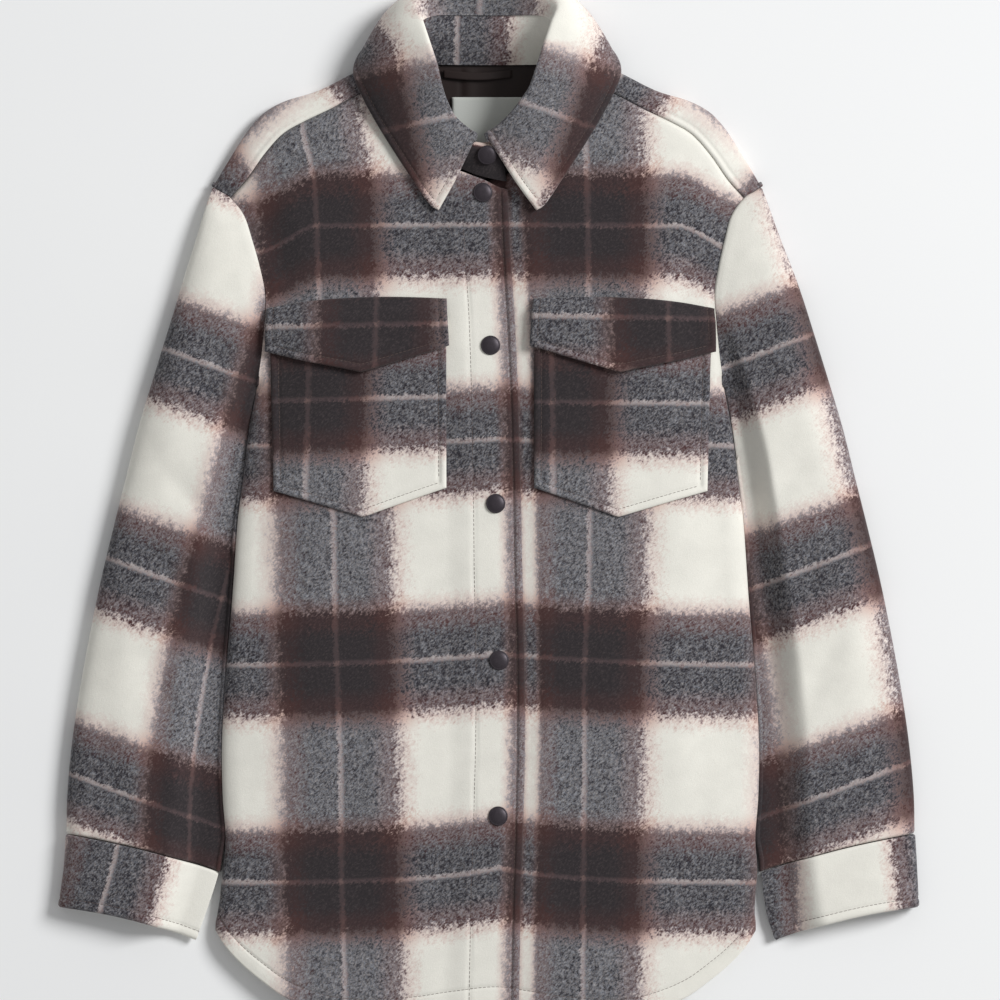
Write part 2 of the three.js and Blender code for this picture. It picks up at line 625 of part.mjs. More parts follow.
const ON_THE_SURFACE = 1e-6; // points lower than this lie on what the garment rests on
function tube(sections, side, thickness) {
  const rings = sections.map((section) => ringOf(section, thickness));
  const around = rings[0].length;
  const points = [];
  rings.forEach((ring, j) => {
    ring.forEach((p, i) => {
      const next = ring[(i + 1) % around];
      const before = ring[(i + around - 1) % around];
      const onward = rings[Math.min(j + 1, rings.length - 1)][i];
      const backward = rings[Math.max(j - 1, 0)][i];
      const normal = new THREE.Vector3().subVectors(next, before)
        .cross(new THREE.Vector3().subVectors(onward, backward)).normalize();
      const flat = [p, next, before].every((q) => q.z < ON_THE_SURFACE);
      if (flat) normal.set(0, 0, -1);
      points.push({ outer: p, normal });
    });
  });
  const faces = [];
  for (let j = 0; j + 1 < rings.length; j++) {
    for (let i = 0; i < around; i++) {
      const [a, b] = [j * around + i, j * around + ((i + 1) % around)];
      faces.push([a, a + around, b + around, b]);
    }
  }
  if (sections[0].fade === 1) {
    rings[0].forEach((p, i) => {
      points[i].normal = bodyNormal(p, i < ACROSS.length);
    });
  }
  let made = thicken(points, thickness);
  if (side < 0) made = mirrorPoints(made);
  return wall(made, side < 0 ? faces : faces.map(turnedOver));
}

// A band from stations, each a list of points across it, with its thickness half to each side
function band(stations, thickness, flip) {
  const [tall, wide] = [stations.length, stations[0].length];
  const points = [];
  stations.forEach((line, j) => line.forEach((p, i) => {
    const along1 = new THREE.Vector3().subVectors(
      stations[Math.min(j + 1, tall - 1)][i], stations[Math.max(j - 1, 0)][i]);
    const across1 = new THREE.Vector3().subVectors(line[Math.min(i + 1, wide - 1)], line[Math.max(i - 1, 0)]);
    const normal = along1.cross(across1).normalize().multiplyScalar(flip ? -1 : 1);
    points.push({
      outer: p.clone().addScaledVector(normal, thickness / 2),
      inner: p.clone().addScaledVector(normal, -thickness / 2),
    });
  }));
  return wall(points, gridFaces(tall, wide, flip));
}

// Mirrors a half table's stations to the wearer's right and joins the halves at the centre back
function bothHalves(upperHalf, lowerHalf) {
  const right = upperHalf.map((line) => line.map(mirrored));
  return [...right, ...lowerHalf.slice(0, -1).reverse()];
}

function collarStand() {
  const lines = (side, drop) => STAND.map((s, k) => {
    const sunk = drop * Math.max(0, 1 - k / STAND_DROP_ROWS);
    const [low, top] = [s.bx, s.tx].map((x) => (side > 0 ? Math.max(x, STAND_LOWER_END) : x));
    return STAND_ACROSS.map((t) => new THREE.Vector3(
      mix(low, top - side * collarShift(s.ty), t), mix(s.by, s.ty, t),
      mix(s.bz, s.tz, t) - sunk + STAND_BULGE * Math.sin(Math.PI * t)));
  });
  return band(bothHalves(lines(-1, 0), lines(1, STAND_DROP)), STAND_CLOTH, false);
}

function collarLeaf() {
  const line = (side) => (s) => {
    const controls = Object.entries(LEAF_SHIFT).map(([k, share]) => new THREE.Vector3(
      s[`${k}x`] - side * share * collarShift(s.ay), s[`${k}y`], s[`${k}z`]));
    return Array.from({ length: LEAF_STEPS + 1 }, (_, i) => curveThrough(controls, i / LEAF_STEPS));
  };
  return band(bothHalves(LEAF.map(line(-1)), LEAF.map(line(1))), BAND_CLOTH, true);
}

// The part of a convex cell that lies in a triangle, as plan points; corners carry heights by their place
function clip(cell, triangle) {
  let shape = cell;
  for (let k = 0; k < 3 && shape.length; k++) {
    const [a, b] = [triangle[k], triangle[(k + 1) % 3]];
    const side = (p) => (b.x - a.x) * (p.y - a.y) - (b.y - a.y) * (p.x - a.x);
    const next = [];
    shape.forEach((p, i) => {
      const q = shape[(i + 1) % shape.length];
      const [sp, sq] = [side(p), side(q)];
      if (sp >= 0) next.push(p);
      if (sp * sq < 0) {
        const t = sp / (sp - sq);
        next.push({ x: mix(p.x, q.x, t), y: mix(p.y, q.y, t), u: mix(p.u, q.u, t), v: mix(p.v, q.v, t) });
      }
    });
    shape = next;
  }
  return shape;
}

const turn = (a, b, c) => (b.x - a.x) * (c.y - a.y) - (b.y - a.y) * (c.x - a.x);

// Triangles of a front's outer surface on the wearer's left, turned the same way, with their normals
function frontTriangles(plan, height) {
  const place = topPoint(height);
  const points = plan.flat().map((p) => {
    const made = place(p.x, p.y);
    return { x: p.x, y: p.y, outer: made.outer, normal: made.normal };
  });
  const list = gridFaces(plan.length, plan[0].length)
    .flatMap(([a, b, c, d]) => [[a, b, c], [a, c, d]])
    .map((corners) => corners.map((i) => points[i]));
  return list.map(([a, b, c]) => (turn(a, b, c) > 0 ? [a, b, c] : [a, c, b]));
}

// A patch sewn on a front: its cells are cut along the front's own folds and moved out from them
function patch(table, triangles, shares, rise, thickness, leanOut) {
  const [inner, outer] = [table[0].x, table[table.length - 1].x];
  const grid = shares.map((v) => table.map((p) => {
    const u = (p.x - inner) / (outer - inner);
    return { x: p.x + leanOut(u, v), y: mix(p.top, p.low, v), u, v };
  }));
  const points = [];
  const faces = [];
  for (let j = 0; j + 1 < shares.length; j++) {
    for (let i = 0; i + 1 < table.length; i++) {
      const cell = [grid[j + 1][i], grid[j + 1][i + 1], grid[j][i + 1], grid[j][i]];
      for (const triangle of triangles) {
        addPiece(clip(cell, triangle), triangle, points, faces, rise, thickness);
      }
    }
  }
  return { points, faces };
}

function addPiece(shape, triangle, points, faces, rise, thickness) {
  if (shape.length < 3) return;
  const [a, b, c] = triangle;
  const whole = turn(a, b, c);
  const start = points.length;
  for (const p of shape) {
    const weights = [turn(p, b, c) / whole, turn(a, p, c) / whole, turn(a, b, p) / whole];
    const sum = (key) => triangle.reduce(
      (v, corner, k) => v.addScaledVector(corner[key], weights[k]), new THREE.Vector3());
    const made = { outer: sum("outer"), normal: sum("normal") };
    const low = rise(p);
    points.push({ outer: moved(made, low + thickness), inner: moved(made, low) });
  }
  for (let k = 1; k + 1 < shape.length; k++) faces.push([start, start + k, start + k + 1]);
}

function patchWall({ points, faces }, side) {
  if (side > 0) return wall(points, faces, SAME_CORNER);
  return wall(mirrorPoints(points), faces.map(turnedOver), SAME_CORNER);
}

function pocket(side, triangles) {
  return patchWall(patch(POCKET, triangles, [0, 1], () => SEAM, CLOTH,
    (u, v) => POCKET_FLARE * u * (1 - v)), side);
}

const FLAP_SHARES = [0, 0.12, 0.3, 1];
function flap(side, triangles) {
  const over = CLOTH + 2 * SEAM;
  const rise = ({ u, v }) => SEAM + (over - SEAM) * ease(v / FLAP_CLIMB)
    + FLAP_STAND_OFF * ease(v) * (1 - Math.abs(2 * u - 1));
  return patchWall(patch(FLAP, triangles, FLAP_SHARES, rise, BAND_CLOTH,
    (u, v) => FLAP_NARROW * (1 - u) * (1 - v)), side);
}

// A snap's cap: a shallow dome with a rounded rim, lying on the cloth
function snapCap() {
  const profile = SNAP_PROFILE.map((p) => new THREE.Vector2(SNAP_RADIUS * p.out, SNAP_HEIGHT * p.up));
  const geometry = new THREE.LatheGeometry(profile, SNAP_SIDES);
  return geometry.rotateX(Math.PI / 2);
}

// Thin flat pieces inside the neck
function slab(points, thickness) {
  const shape = new THREE.Shape(points.map((p) => new THREE.Vector2(p.x + lean(p.x, p.y), p.y)));
  return new THREE.ExtrudeGeometry(shape, { depth: thickness, bevelEnabled: false });
}

function hangLoop() {
  const stations = Array.from({ length: LOOP.steps + 1 }, (_, i) => {
    const t = i / LOOP.steps;
    const x = mix(LOOP.left, LOOP.right, t);
    const hang = Math.sin(Math.PI * t);
    const y = LOOP.top - LOOP.sag * hang;
    const z = LOOP.z + LOOP.lift * hang;
    return [new THREE.Vector3(x, y, z), new THREE.Vector3(x, y - LOOP.width, z + LOOP.tilt * hang)];
  });
  return band(stations, LINING, true);
}

function neckLabel() {
  const stations = Array.from({ length: LABEL.steps + 1 }, (_, i) => {
    const t = i / LABEL.steps;
    const y = mix(LABEL.top, LABEL.low, t);
    const z = LABEL.z + LABEL.curl * t * t;
    return [new THREE.Vector3(LABEL.right, y, z), new THREE.Vector3(LABEL.left, y, z)];
  });
  return band(stations, LINING, false);
}

// The object
const cloth = (color) => new THREE.MeshStandardMaterial({ color, roughness: 0.95, metalness: 0 });
const shacket = new THREE.Group();

function add(name, geometry, material, place = [0, 0, 0]) {
  const mesh = new THREE.Mesh(geometry, material);
  mesh.name = name;
  mesh.position.set(...place);
  shacket.add(mesh);
  return mesh;
}

const brown = cloth(CHECK_BROWN);
const grey = cloth(CHECK_GREY);
const satin = new THREE.MeshStandardMaterial({ color: LINING_BROWN, roughness: 0.45, metalness: 0 });
const label = new THREE.MeshStandardMaterial({ color: LABEL_WHITE, roughness: 0.6, metalness: 0 });
const metal = new THREE.MeshStandardMaterial({ color: SNAP_METAL, roughness: 0.35, metalness: 0.7 });

add("back", back(), grey);
add("yoke", yoke(), grey);
add("front_left", frontLeft(), brown);
add("front_right", frontRight(), brown);
for (const [side, word, plan] of [[1, "left", lowerPlan], [-1, "right", upperPlan]]) {
  const surface = frontTriangles(plan, side > 0 ? lowerHeight : (x, y) => upperHeight(-x, y));
  add(`sleeve_${word}`, tube(SLEEVE, side, CLOTH), grey);
  add(`cuff_${word}`, tube(CUFF, side, BAND_CLOTH), brown);
  add(`pocket_${word}`, pocket(side, surface), grey);
  add(`flap_${word}`, flap(side, surface), brown);
}
add("collar_stand", collarStand(), brown);
add("collar_leaf", collarLeaf(), grey);
add("neck_lining", slab(LINING_OUTLINE, LINING), satin, [0, 0, CLOTH + SEAM]);
add("hang_loop", hangLoop(), satin);
add("neck_label", neckLabel(), label);

// The top snap sits on the stand, the others down the placket
function standSnapPlace() {
  const centre = STAND.find((s) => s.bx === 0);
  const normal = new THREE.Vector3(0, centre.bz - centre.tz, centre.ty - centre.by).normalize();
  const [y, z] = [mix(centre.by, centre.ty, STAND_SNAP), mix(centre.bz, centre.tz, STAND_SNAP)];
  const outer = new THREE.Vector3(0, y, z);
  return { outer: outer.addScaledVector(normal, STAND_CLOTH / 2 + STAND_BULGE + 2 * SEAM), normal };
}

const snapPlaces = [
  standSnapPlace(),
  ...SNAP_Y.map((y) => topPoint(upperHeight)(placketX(y) - SNAP_INSET, y)),
];
snapPlaces.forEach((made, i) => {
  const at = moved(made, SEAM);
  const cap = add(`snap_${i + 1}`, snapCap(), metal, [at.x + lean(at.x, at.y), at.y, at.z]);
  cap.quaternion.setFromUnitVectors(new THREE.Vector3(0, 0, 1), made.normal);
});

export default shacket;
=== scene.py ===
# A checked, brushed wool shacket, buttoned up and laid flat: its cloth, stitching, snaps, lining and light.
import math

import bpy
import numpy as np
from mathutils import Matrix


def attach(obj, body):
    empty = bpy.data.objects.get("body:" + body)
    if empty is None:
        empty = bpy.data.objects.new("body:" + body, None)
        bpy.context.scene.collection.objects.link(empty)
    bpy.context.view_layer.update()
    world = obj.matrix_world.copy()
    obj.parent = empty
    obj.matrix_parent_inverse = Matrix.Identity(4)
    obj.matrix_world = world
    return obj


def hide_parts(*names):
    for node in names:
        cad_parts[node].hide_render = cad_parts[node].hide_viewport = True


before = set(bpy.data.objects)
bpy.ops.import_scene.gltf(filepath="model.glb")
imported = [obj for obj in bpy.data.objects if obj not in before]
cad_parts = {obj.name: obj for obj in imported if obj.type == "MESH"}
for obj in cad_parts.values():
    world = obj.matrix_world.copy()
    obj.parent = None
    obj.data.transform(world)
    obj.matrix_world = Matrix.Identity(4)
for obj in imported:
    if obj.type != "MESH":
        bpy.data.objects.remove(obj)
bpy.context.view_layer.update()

MM = 0.001

# Sizes in millimetres, as in the solids
CLOTH = 2.2
DOUBLE_CLOTH = 4.2  # the placket
BAND_CLOTH = 3.2  # cuffs, flaps and collar leaf
STAND_CLOTH = 2.4
SEAM = 0.3  # gap between neighbouring pieces
TOP_ROUND = 16  # how far in from the side the upper and lower layers round over
UNDER_ROUND = 12
CROWN_REACH = 70  # how far in from its sides the body goes on rising
ARMHOLE_DIP = 4.5  # how far it sinks towards the armhole, over ARMHOLE_REACH
ARMHOLE_REACH = 45
UNDERARM = 94  # the underarm's y
PLACKET_WIDTH = 41
OVERLAP_LIFT = 2.1  # rise of the right front where it lies over the left one
OVERLAP_DROP = 3.2  # and how far the left one drops there
OVERLAP_FADE = 22
SNAP_RADIUS = 7.9
SNAP_HEIGHT = 2.8
SNAP_INSET = 20.8  # from the placket's edge to the middle of a snap
LEAN = -2.7  # how far the upper part lies over, growing between these two heights
LEAN_FROM = 150
LEAN_TO = 260
HEM_LEAN = -4  # how far the sides lie over near the hem, and the right cuff with them
COLLAR_SHIFT = 5  # how far the collar's front ends lie over
COLLAR_SHIFT_FROM = 297
COLLAR_SHIFT_TO = 345
LEAF_SHIFT = dict(a=1, r=1, m=0.7, n=0.35, e=0)  # share of the collar's shift in each column
STAND_LOWER_END = -11  # x at which the stand's lower end stops
STAND_BULGE = 1.6
STAND_DROP = 6.4
HEM_DEPTH = 14.5  # from the hem to its stitching
EDGE_STITCH = 6.4  # from an edge to its topstitching
CUFF_STITCH = 7.6
STITCH_PITCH = 3.6
STITCH_LENGTH = 3.0
STITCH_RADIUS = 0.25
STITCH_SIDES = 6

# The check. A place in it is counted in repeats from the thin line in the middle of a dark band.
WARP_REPEAT = 193.5
WEFT_REPEAT = 178.8
PIXEL = 0.82  # millimetres that one pixel of the photograph spans on the garment
PHOTO_X = 490.5  # the pixel column and row where x and y are 0
PHOTO_Y = 502.5


def rows(names, table):
    columns = np.array(table, float).T
    return dict(zip(names.split(), columns))


SIDE = rows("y x", [
    [-430, 223], [-352, 222], [-330, 220], [-301, 219.5], [-277, 217.5], [-241, 220], [-196, 220.5],
    [-137, 217], [-78, 212], [-14, 207.5], [13, 204], [54, 199], [94, 192],
])
ARMHOLE = rows("x y", [
    [225, 259], [222.5, 257.5], [218, 254.8], [211, 250.5], [200, 236], [193.5, 215], [188, 194],
    [184, 172], [185, 150], [188, 120], [190.3, 104], [191.6, 96.5], [192, 94],
])
YOKE_CORNER = 3
BACK_CORNER = 4
SHOULDER = rows("x y", [
    [225, 259], [217, 273], [209, 286], [201, 299], [193, 310], [182, 321], [165, 330], [139, 338],
    [110, 352.5], [73, 370],
])
YOKE_SEAM = rows("x y", [
    [73, 349], [90, 341.5], [108, 333.5], [130, 322], [151, 312], [168, 302], [183, 285.5], [197, 266],
    [211, 250.5],
])
NECK = rows("x y", [
    [-18, 256], [-8, 259], [2, 264], [14, 268.5], [30, 275.5], [46.5, 288], [59, 303], [68, 322], [73, 349],
])
BACK_NECK = rows("x y", [[73, 370], [60, 366.5], [45, 363], [24, 361.3], [0, 361]])
HEM = rows("x y", [
    [-25, -412.5], [0, -411.5], [30, -415], [60, -419.5], [90, -421.5], [118, -421], [140, -416],
    [165, -405.5], [183, -393], [200, -379], [214, -364], [222, -352],
])
PLACKET_EDGE = rows("y x", [
    [-412, 23.3], [-326, 24.9], [-290, 26.1], [-208, 28.1], [-133, 28], [-67, 26.3], [17, 24.7],
    [100, 22.2], [185, 18.3], [260, 17.1],
])
SLEEVE = rows("ox oy ix iy high fade bow", [
    [225, 259, 192, 94, 16, 1, 0],
    [230, 246, 196.6, 72, 19, 0.55, 0],
    [240, 216, 201, 46, 22, 0.25, 0],
    [252, 182, 205.5, 16, 24, 0.08, 0],
    [264, 144, 210, -14, 25, 0, 0],
    [277, 102, 213, -46, 25, 0, 0],
    [289, 62, 215.5, -78, 24.5, 0, 0],
    [300, 18, 218.5, -110, 24, 0, 0],
    [310, -22, 221, -142, 24, 0, 0],
    [320, -64, 223, -174, 23.5, 0, 0],
    [329, -108, 224, -204, 23, 0, 0.5],
    [337, -152, 224, -232, 22.5, 0, 1],
    [343.5, -196, 222.8, -258, 22, 0, 1.8],
    [347.5, -238, 221.8, -282, 21.5, 0, 2.6],
    [348.3, -271.5, 222.5, -303.2, 21, 0, 3.2],
])
CUFF = rows("ox oy ix iy high fade bow", [
    [348.8, -272.1, 222.6, -303.8, 22.5, 0, 3.2],
    [350, -292, 226.5, -322, 22.5, 0, 3.6],
    [351, -312, 231.5, -341, 22.5, 0, 4],
    [352, -332, 238, -359.5, 22, 0, 4.4],
])
ACROSS = [0, 0.02, 0.07, 0.16, 0.28, 0.4, 0.52, 0.64, 0.75, 0.86, 0.94, 0.985, 1]
STAND = rows("bx by bz tx ty tz", [
    [-16, 263, 22.9, -16, 290, 28.2],
    [0, 266.5, 22, 0, 293, 28],
    [14, 271, 20.6, 9.5, 295.5, 28.5],
    [29, 278.5, 19.4, 20, 304.5, 31.5],
    [44.3, 290.5, 18.6, 30, 317, 35],
    [56.5, 305, 18, 37, 330, 38],
    [65.5, 323.5, 17, 42, 344, 40.5],
    [69.7, 346, 15.5, 47, 359, 41.5],
    [69, 362, 13, 52, 375, 40.5],
    [60, 361.5, 8.5, 55, 390, 35],
    [45, 360.3, 6.2, 44, 397, 23],
    [24, 359.7, 5.6, 24, 398.3, 15],
    [0, 359.5, 5.6, 0, 398.5, 13],
])
LEAF = rows("ax ay az rx ry rz mx my mz nx ny nz ex ey ez", [
    [4.5, 294.5, 31, 3, 301, 31.8, 12, 285, 31.8, 25, 262, 28.8, 40, 239, 25.4],
    [10, 297.5, 30.6, 12, 305, 34, 24, 289, 33.5, 37, 266, 29.5, 48, 245, 25.2],
    [20.5, 306, 33.6, 24, 316, 39, 38, 302, 37, 52, 285, 31, 63, 267, 24.8],
    [30.8, 318.6, 37, 32, 328, 43, 49, 318, 39.5, 65, 304, 32, 78, 290, 24.2],
    [37.6, 331.3, 39.9, 38.3, 341, 46, 58, 336, 41.5, 78, 325, 33, 92, 313, 23.6],
    [42.4, 345, 42.3, 43.5, 359.5, 48.5, 64, 356, 43, 87, 346, 33, 104, 336, 21.5],
    [47.3, 360, 42.8, 49, 376.7, 48, 69, 374, 42, 93, 366, 30, 109.5, 354, 15.5],
    [52.2, 376, 41.7, 54, 392, 44.5, 73, 390, 38, 94, 381, 22, 102, 369, 6.5],
    [55, 391.3, 36, 58.5, 407, 36.5, 73, 406.5, 28, 84, 398, 11, 84, 375, 2.1],
    [44, 398.3, 24, 48, 416.5, 27.5, 59, 418, 16, 64, 408, 3.4, 60, 371.5, 2.1],
    [24, 399.6, 16, 26, 420, 21.5, 30, 421, 10.5, 31, 409, 2.4, 30, 367.5, 2.1],
    [0, 399.8, 14, 0, 420, 19.5, 0, 421, 9.5, 0, 408, 2.3, 0, 367, 2.1],
])
POCKET = rows("x top low", [
    [36, 150, 12], [58, 150, 4.5], [81, 149.5, -3.6], [104.4, 149, -12], [128, 147.5, -5],
    [153, 145.5, 2.4], [177.5, 143, 9.3],
])
POCKET_FLARE = 3.5
FLAP = rows("x top low", [
    [33, 167, 128.5], [57, 168, 121], [82, 168.5, 113.5], [106, 168, 106.5], [132, 166.5, 112],
    [158, 163.5, 117.5], [183.5, 159, 123.4],
])
FLAP_NARROW = 2.4
FLAP_CLIMB = 0.3
FLAP_STAND_OFF = 2.4
SNAP_Y = [253.8, 128.7, -0.8, -129.2, -256.7]

# Where the check's thin lines run. On each front the warp line's x down the length of the body.
RIGHT_FRONT_LINE = rows("y x", [
    [-406, -119.3], [-306, -122.1], [-209, -123], [-130, -126.2], [-83, -127.8], [-9, -129.2],
    [165, -139.8], [228, -142.8], [264, -144.7], [304, -154],
])
LEFT_FRONT_LINE = rows("y x", [
    [-401, 75.6], [-300, 75.6], [-209, 76.7], [-130, 76.7], [-70, 80], [-13, 80.8], [207, 80],
    [270, 78.9], [306, 77.5],
])
BODY_WEFT_Y = 228
BODY_WEFT_REPEAT = 175.7
CENTRE_X = 7

# Soft folds pressed into the cloth: place, direction, half length, half width and depth (up is positive)
FRONT_FOLDS = rows("x y angle long wide deep", [
    [176, 205, 62, 55, 15, -1.6],
    [165, 120, 100, 45, 12, -1.2],
    [-176, 210, 118, 55, 16, -1.8],
    [-170, 118, 80, 50, 12, -1.0],
    [-150, 60, 84, 110, 22, 0.9],
    [160, 20, 95, 120, 20, 1.0],
    [95, -150, 88, 150, 24, 0.8],
    [-80, -190, 93, 130, 26, 0.9],
    [-170, -200, 88, 120, 16, -1.0],
    [175, -230, 86, 120, 16, -1.1],
    [60, -350, 80, 60, 18, -1.2],
    [-95, -360, 98, 60, 20, -1.1],
    [130, -370, 70, 45, 14, 1.0],
    [-160, -350, 110, 50, 15, 0.9],
    [-60, 245, 60, 40, 14, 0.7],
    [70, 240, 120, 45, 14, 0.7],
])
SLEEVE_FOLDS = rows("x y angle long wide deep", [
    [232, 150, 70, 55, 12, -1.8],
    [222, 95, 58, 40, 9, -2.2],
    [262, 70, 100, 60, 14, 1.0],
    [238, 10, 50, 45, 10, -1.8],
    [282, -20, 122, 40, 11, -1.3],
    [250, -70, 64, 60, 12, -1.5],
    [300, -110, 108, 55, 14, 1.0],
    [262, -160, 70, 55, 11, -1.4],
    [318, -190, 96, 60, 12, -1.2],
    [285, -225, 82, 60, 14, 1.1],
    [250, -268, 75, 32, 8, -1.6],
    [300, -262, 96, 26, 7, -1.2],
    [328, -250, 92, 26, 7, -1.0],
])


# Small functions
def ease(t):
    c = np.clip(t, 0, 1)
    return c * c * (3 - 2 * c)


def mix(a, b, t):
    return a + (b - a) * t


def arch(t):
    return np.sqrt(np.maximum(0, 1 - (1 - np.minimum(1, t)) ** 2))


def cubic(keys, points, at):
    """Cubic through points at rising keys, each slope taken between a point's two neighbours."""
    last = len(keys) - 1
    i = np.clip(np.searchsorted(keys, at, side="right") - 1, 0, last - 1)
    before, after = np.maximum(i - 1, 0), np.minimum(i + 2, last)
    shape = at.shape + (1,) * (points.ndim - 1)
    span = (keys[i + 1] - keys[i]).reshape(shape)
    t = (at - keys[i]).reshape(shape) / span
    slope_p = (points[i + 1] - points[before]) / (keys[i + 1] - keys[before]).reshape(shape)
    slope_q = (points[after] - points[i]) / (keys[after] - keys[i]).reshape(shape)
    t2, t3 = t * t, t * t * t
    return ((2 * t3 - 3 * t2 + 1) * points[i] + (t3 - 2 * t2 + t) * span * slope_p
            + (3 * t2 - 2 * t3) * points[i + 1] + (t3 - t2) * span * slope_q)


def along(table, key, value, at):
    """A table's column at a place in another, by a cubic through the rows."""
    return cubic(table[key], table[value], np.asarray(at, float))


def curve_through(points, where):
    """Uniform cubic through points (first axis) at places from 0 to the last index."""
    last = len(points) - 1
    where = np.asarray(where, float)
    i = np.clip(np.floor(where).astype(int), 0, last - 1)
    t = (where - i).reshape((-1,) + (1,) * (points.ndim - 1))
    p1, p2 = points[i], points[i + 1]
    p0 = np.where((i > 0).reshape(t.shape), points[np.maximum(i - 1, 0)], 2 * p1 - p2)
    p3 = np.where((i + 2 <= last).reshape(t.shape), points[np.minimum(i + 2, last)], 2 * p2 - p1)
    return 0.5 * (2 * p1 + (p2 - p0) * t + (2 * p0 - 5 * p1 + 4 * p2 - p3) * t ** 2
                  + (3 * p1 - p0 - 3 * p2 + p3) * t ** 3)


def curve_by_length(points, shares):
    """Smooth cubic through points (first axis), paced by the mean distance between them."""
    gaps = np.linalg.norm(np.diff(points, axis=0), axis=-1)
    keys = np.concatenate([[0], np.cumsum(gaps.reshape(len(gaps), -1).mean(1))])
    return cubic(keys, points, np.asarray(shares) * keys[-1])


def smooth_line(table, steps):
    points = np.stack([table["x"], table["y"]], 1)
    count = (len(points) - 1) * steps
    return curve_through(points, np.linspace(0, len(points) - 1, count + 1))


def at_share(line, share):
    lengths = np.concatenate([[0], np.cumsum(np.hypot(*np.diff(line, axis=0).T))])
    want = np.asarray(share) * lengths[-1]
    return np.stack([np.interp(want, lengths, line[:, 0]), np.interp(want, lengths, line[:, 1])], -1)


def distance_to(line, x, y):
    """Distance of points from a line of straight pieces."""
    x, y = np.broadcast_arrays(np.asarray(x, float), np.asarray(y, float))
    best = np.full(x.shape, np.inf)
    for (ax, ay), (bx, by) in zip(line[:-1], line[1:]):
        dx, dy = bx - ax, by - ay
        t = np.clip(((x - ax) * dx + (y - ay) * dy) / (dx * dx + dy * dy), 0, 1)
        best = np.minimum(best, np.hypot(x - ax - t * dx, y - ay - t * dy))
    return best


HEM_CORNER_X, HEM_CORNER_Y = HEM["x"][-1], HEM["y"][-1]
PAST_HEM = 7  # steps of the side line that run on past the hem corner
SIDE_Y = np.concatenate([np.linspace(SIDE["y"][0], HEM_CORNER_Y, PAST_HEM + 1)[:-1],
                         np.linspace(HEM_CORNER_Y, SIDE["y"][-1], 60)])
SIDE_LINE = np.stack([along(SIDE, "y", "x", SIDE_Y), SIDE_Y], 1)
SIDE_DOWN = SIDE_LINE[PAST_HEM:][::-1]  # from the underarm to the hem corner
SHOULDER_LINE = smooth_line(SHOULDER, 5)
ARMHOLE_STEPS = 6
ARMHOLE_LINE = smooth_line(ARMHOLE, ARMHOLE_STEPS)
ARMHOLE_COARSE = ARMHOLE_LINE[::3]
YOKE_LINE = smooth_line(YOKE_SEAM, 5)


def side_x(y):
    return along(SIDE, "y", "x", y)


def placket_x(y):
    return along(PLACKET_EDGE, "y", "x", y)


def lean(x, y):
    at_hem = HEM_LEAN * ease((-290 - y) / 60) * ease((np.abs(x) - 60) / 90) * (1 - ease((x - 240) / 60))
    return LEAN * ease((y - LEAN_FROM) / (LEAN_TO - LEAN_FROM)) + at_hem


def collar_shift(y):
    return COLLAR_SHIFT * (1 - ease((y - COLLAR_SHIFT_FROM) / (COLLAR_SHIFT_TO - COLLAR_SHIFT_FROM)))


def to_edge(x, y):
    return np.minimum(distance_to(SIDE_LINE, np.abs(x), y), distance_to(SHOULDER_LINE, np.abs(x), y))


# Heights of the body, as in the solids
def edge_high(y):
    return 13 + 2 * ease((y + 420) / 250)


def edge_middle(y):
    return edge_high(y) / 2


def top_height(x, y):
    edge = to_edge(x, y)
    crown = 3.5 + 3 * ease((y + 420) / 300)
    dip = ARMHOLE_DIP * ease((y - UNDERARM) / ARMHOLE_REACH)
    full = (edge_high(y) + crown * ease(edge / CROWN_REACH)
            - dip * (1 - ease(distance_to(ARMHOLE_COARSE, np.abs(x), y) / ARMHOLE_REACH)))
    middle = edge_middle(y)
    return middle + (full - middle) * arch(edge / TOP_ROUND)


def under_height(x, y):
    return edge_middle(y) * (1 - arch(to_edge(x, y) / UNDER_ROUND))


def overlap(x, y):
    half = PLACKET_WIDTH / 2
    middle = placket_x(y) - half
    return 1 - ease((np.abs(x - middle) - half) / OVERLAP_FADE)


# Folds and seams
def folds(table, x, y):
    total = np.zeros(np.broadcast(x, y).shape)
    for fx, fy, angle, long, wide, deep in zip(*(table[k] for k in "x y angle long wide deep".split())):
        c, s = math.cos(math.radians(angle)), math.sin(math.radians(angle))
        run = (x - fx) * c + (y - fy) * s
        off = -(x - fx) * s + (y - fy) * c + 3 * np.sin(run / 31)
        total += deep * np.exp(-(run / long) ** 2 - (off / wide) ** 2)
    return total


def sway(x, y):
    """Slow unevenness of cloth that lies by its own weight."""
    return (0.35 * np.sin(x / 37 + 1.3 * np.sin(y / 61)) + 0.3 * np.sin(y / 49 + 1.1 * np.sin(x / 43 + 2))
            + 0.18 * np.sin((x + y) / 17 + 2 * np.sin(y / 90)))


def valley(distance, deep, wide):
    return -deep * np.exp(-(distance / wide) ** 2)


def front_relief(x, y):
    near = np.minimum(1, to_edge(x, y) / 20)
    seams = valley(distance_to(YOKE_LINE, np.abs(x), y), 0.5, 2.6)
    seams = seams + valley(distance_to(ARMHOLE_COARSE, np.abs(x), y), 1.4, 5)
    return near * (folds(FRONT_FOLDS, x, y) + sway(x, y)) + seams


def upper_height(x, y):
    return top_height(x, y) + OVERLAP_LIFT * overlap(x, y) + front_relief(x, y)


def lower_height(x, y):
    return top_height(x, y) - OVERLAP_DROP * overlap(x, y) + front_relief(x, y)


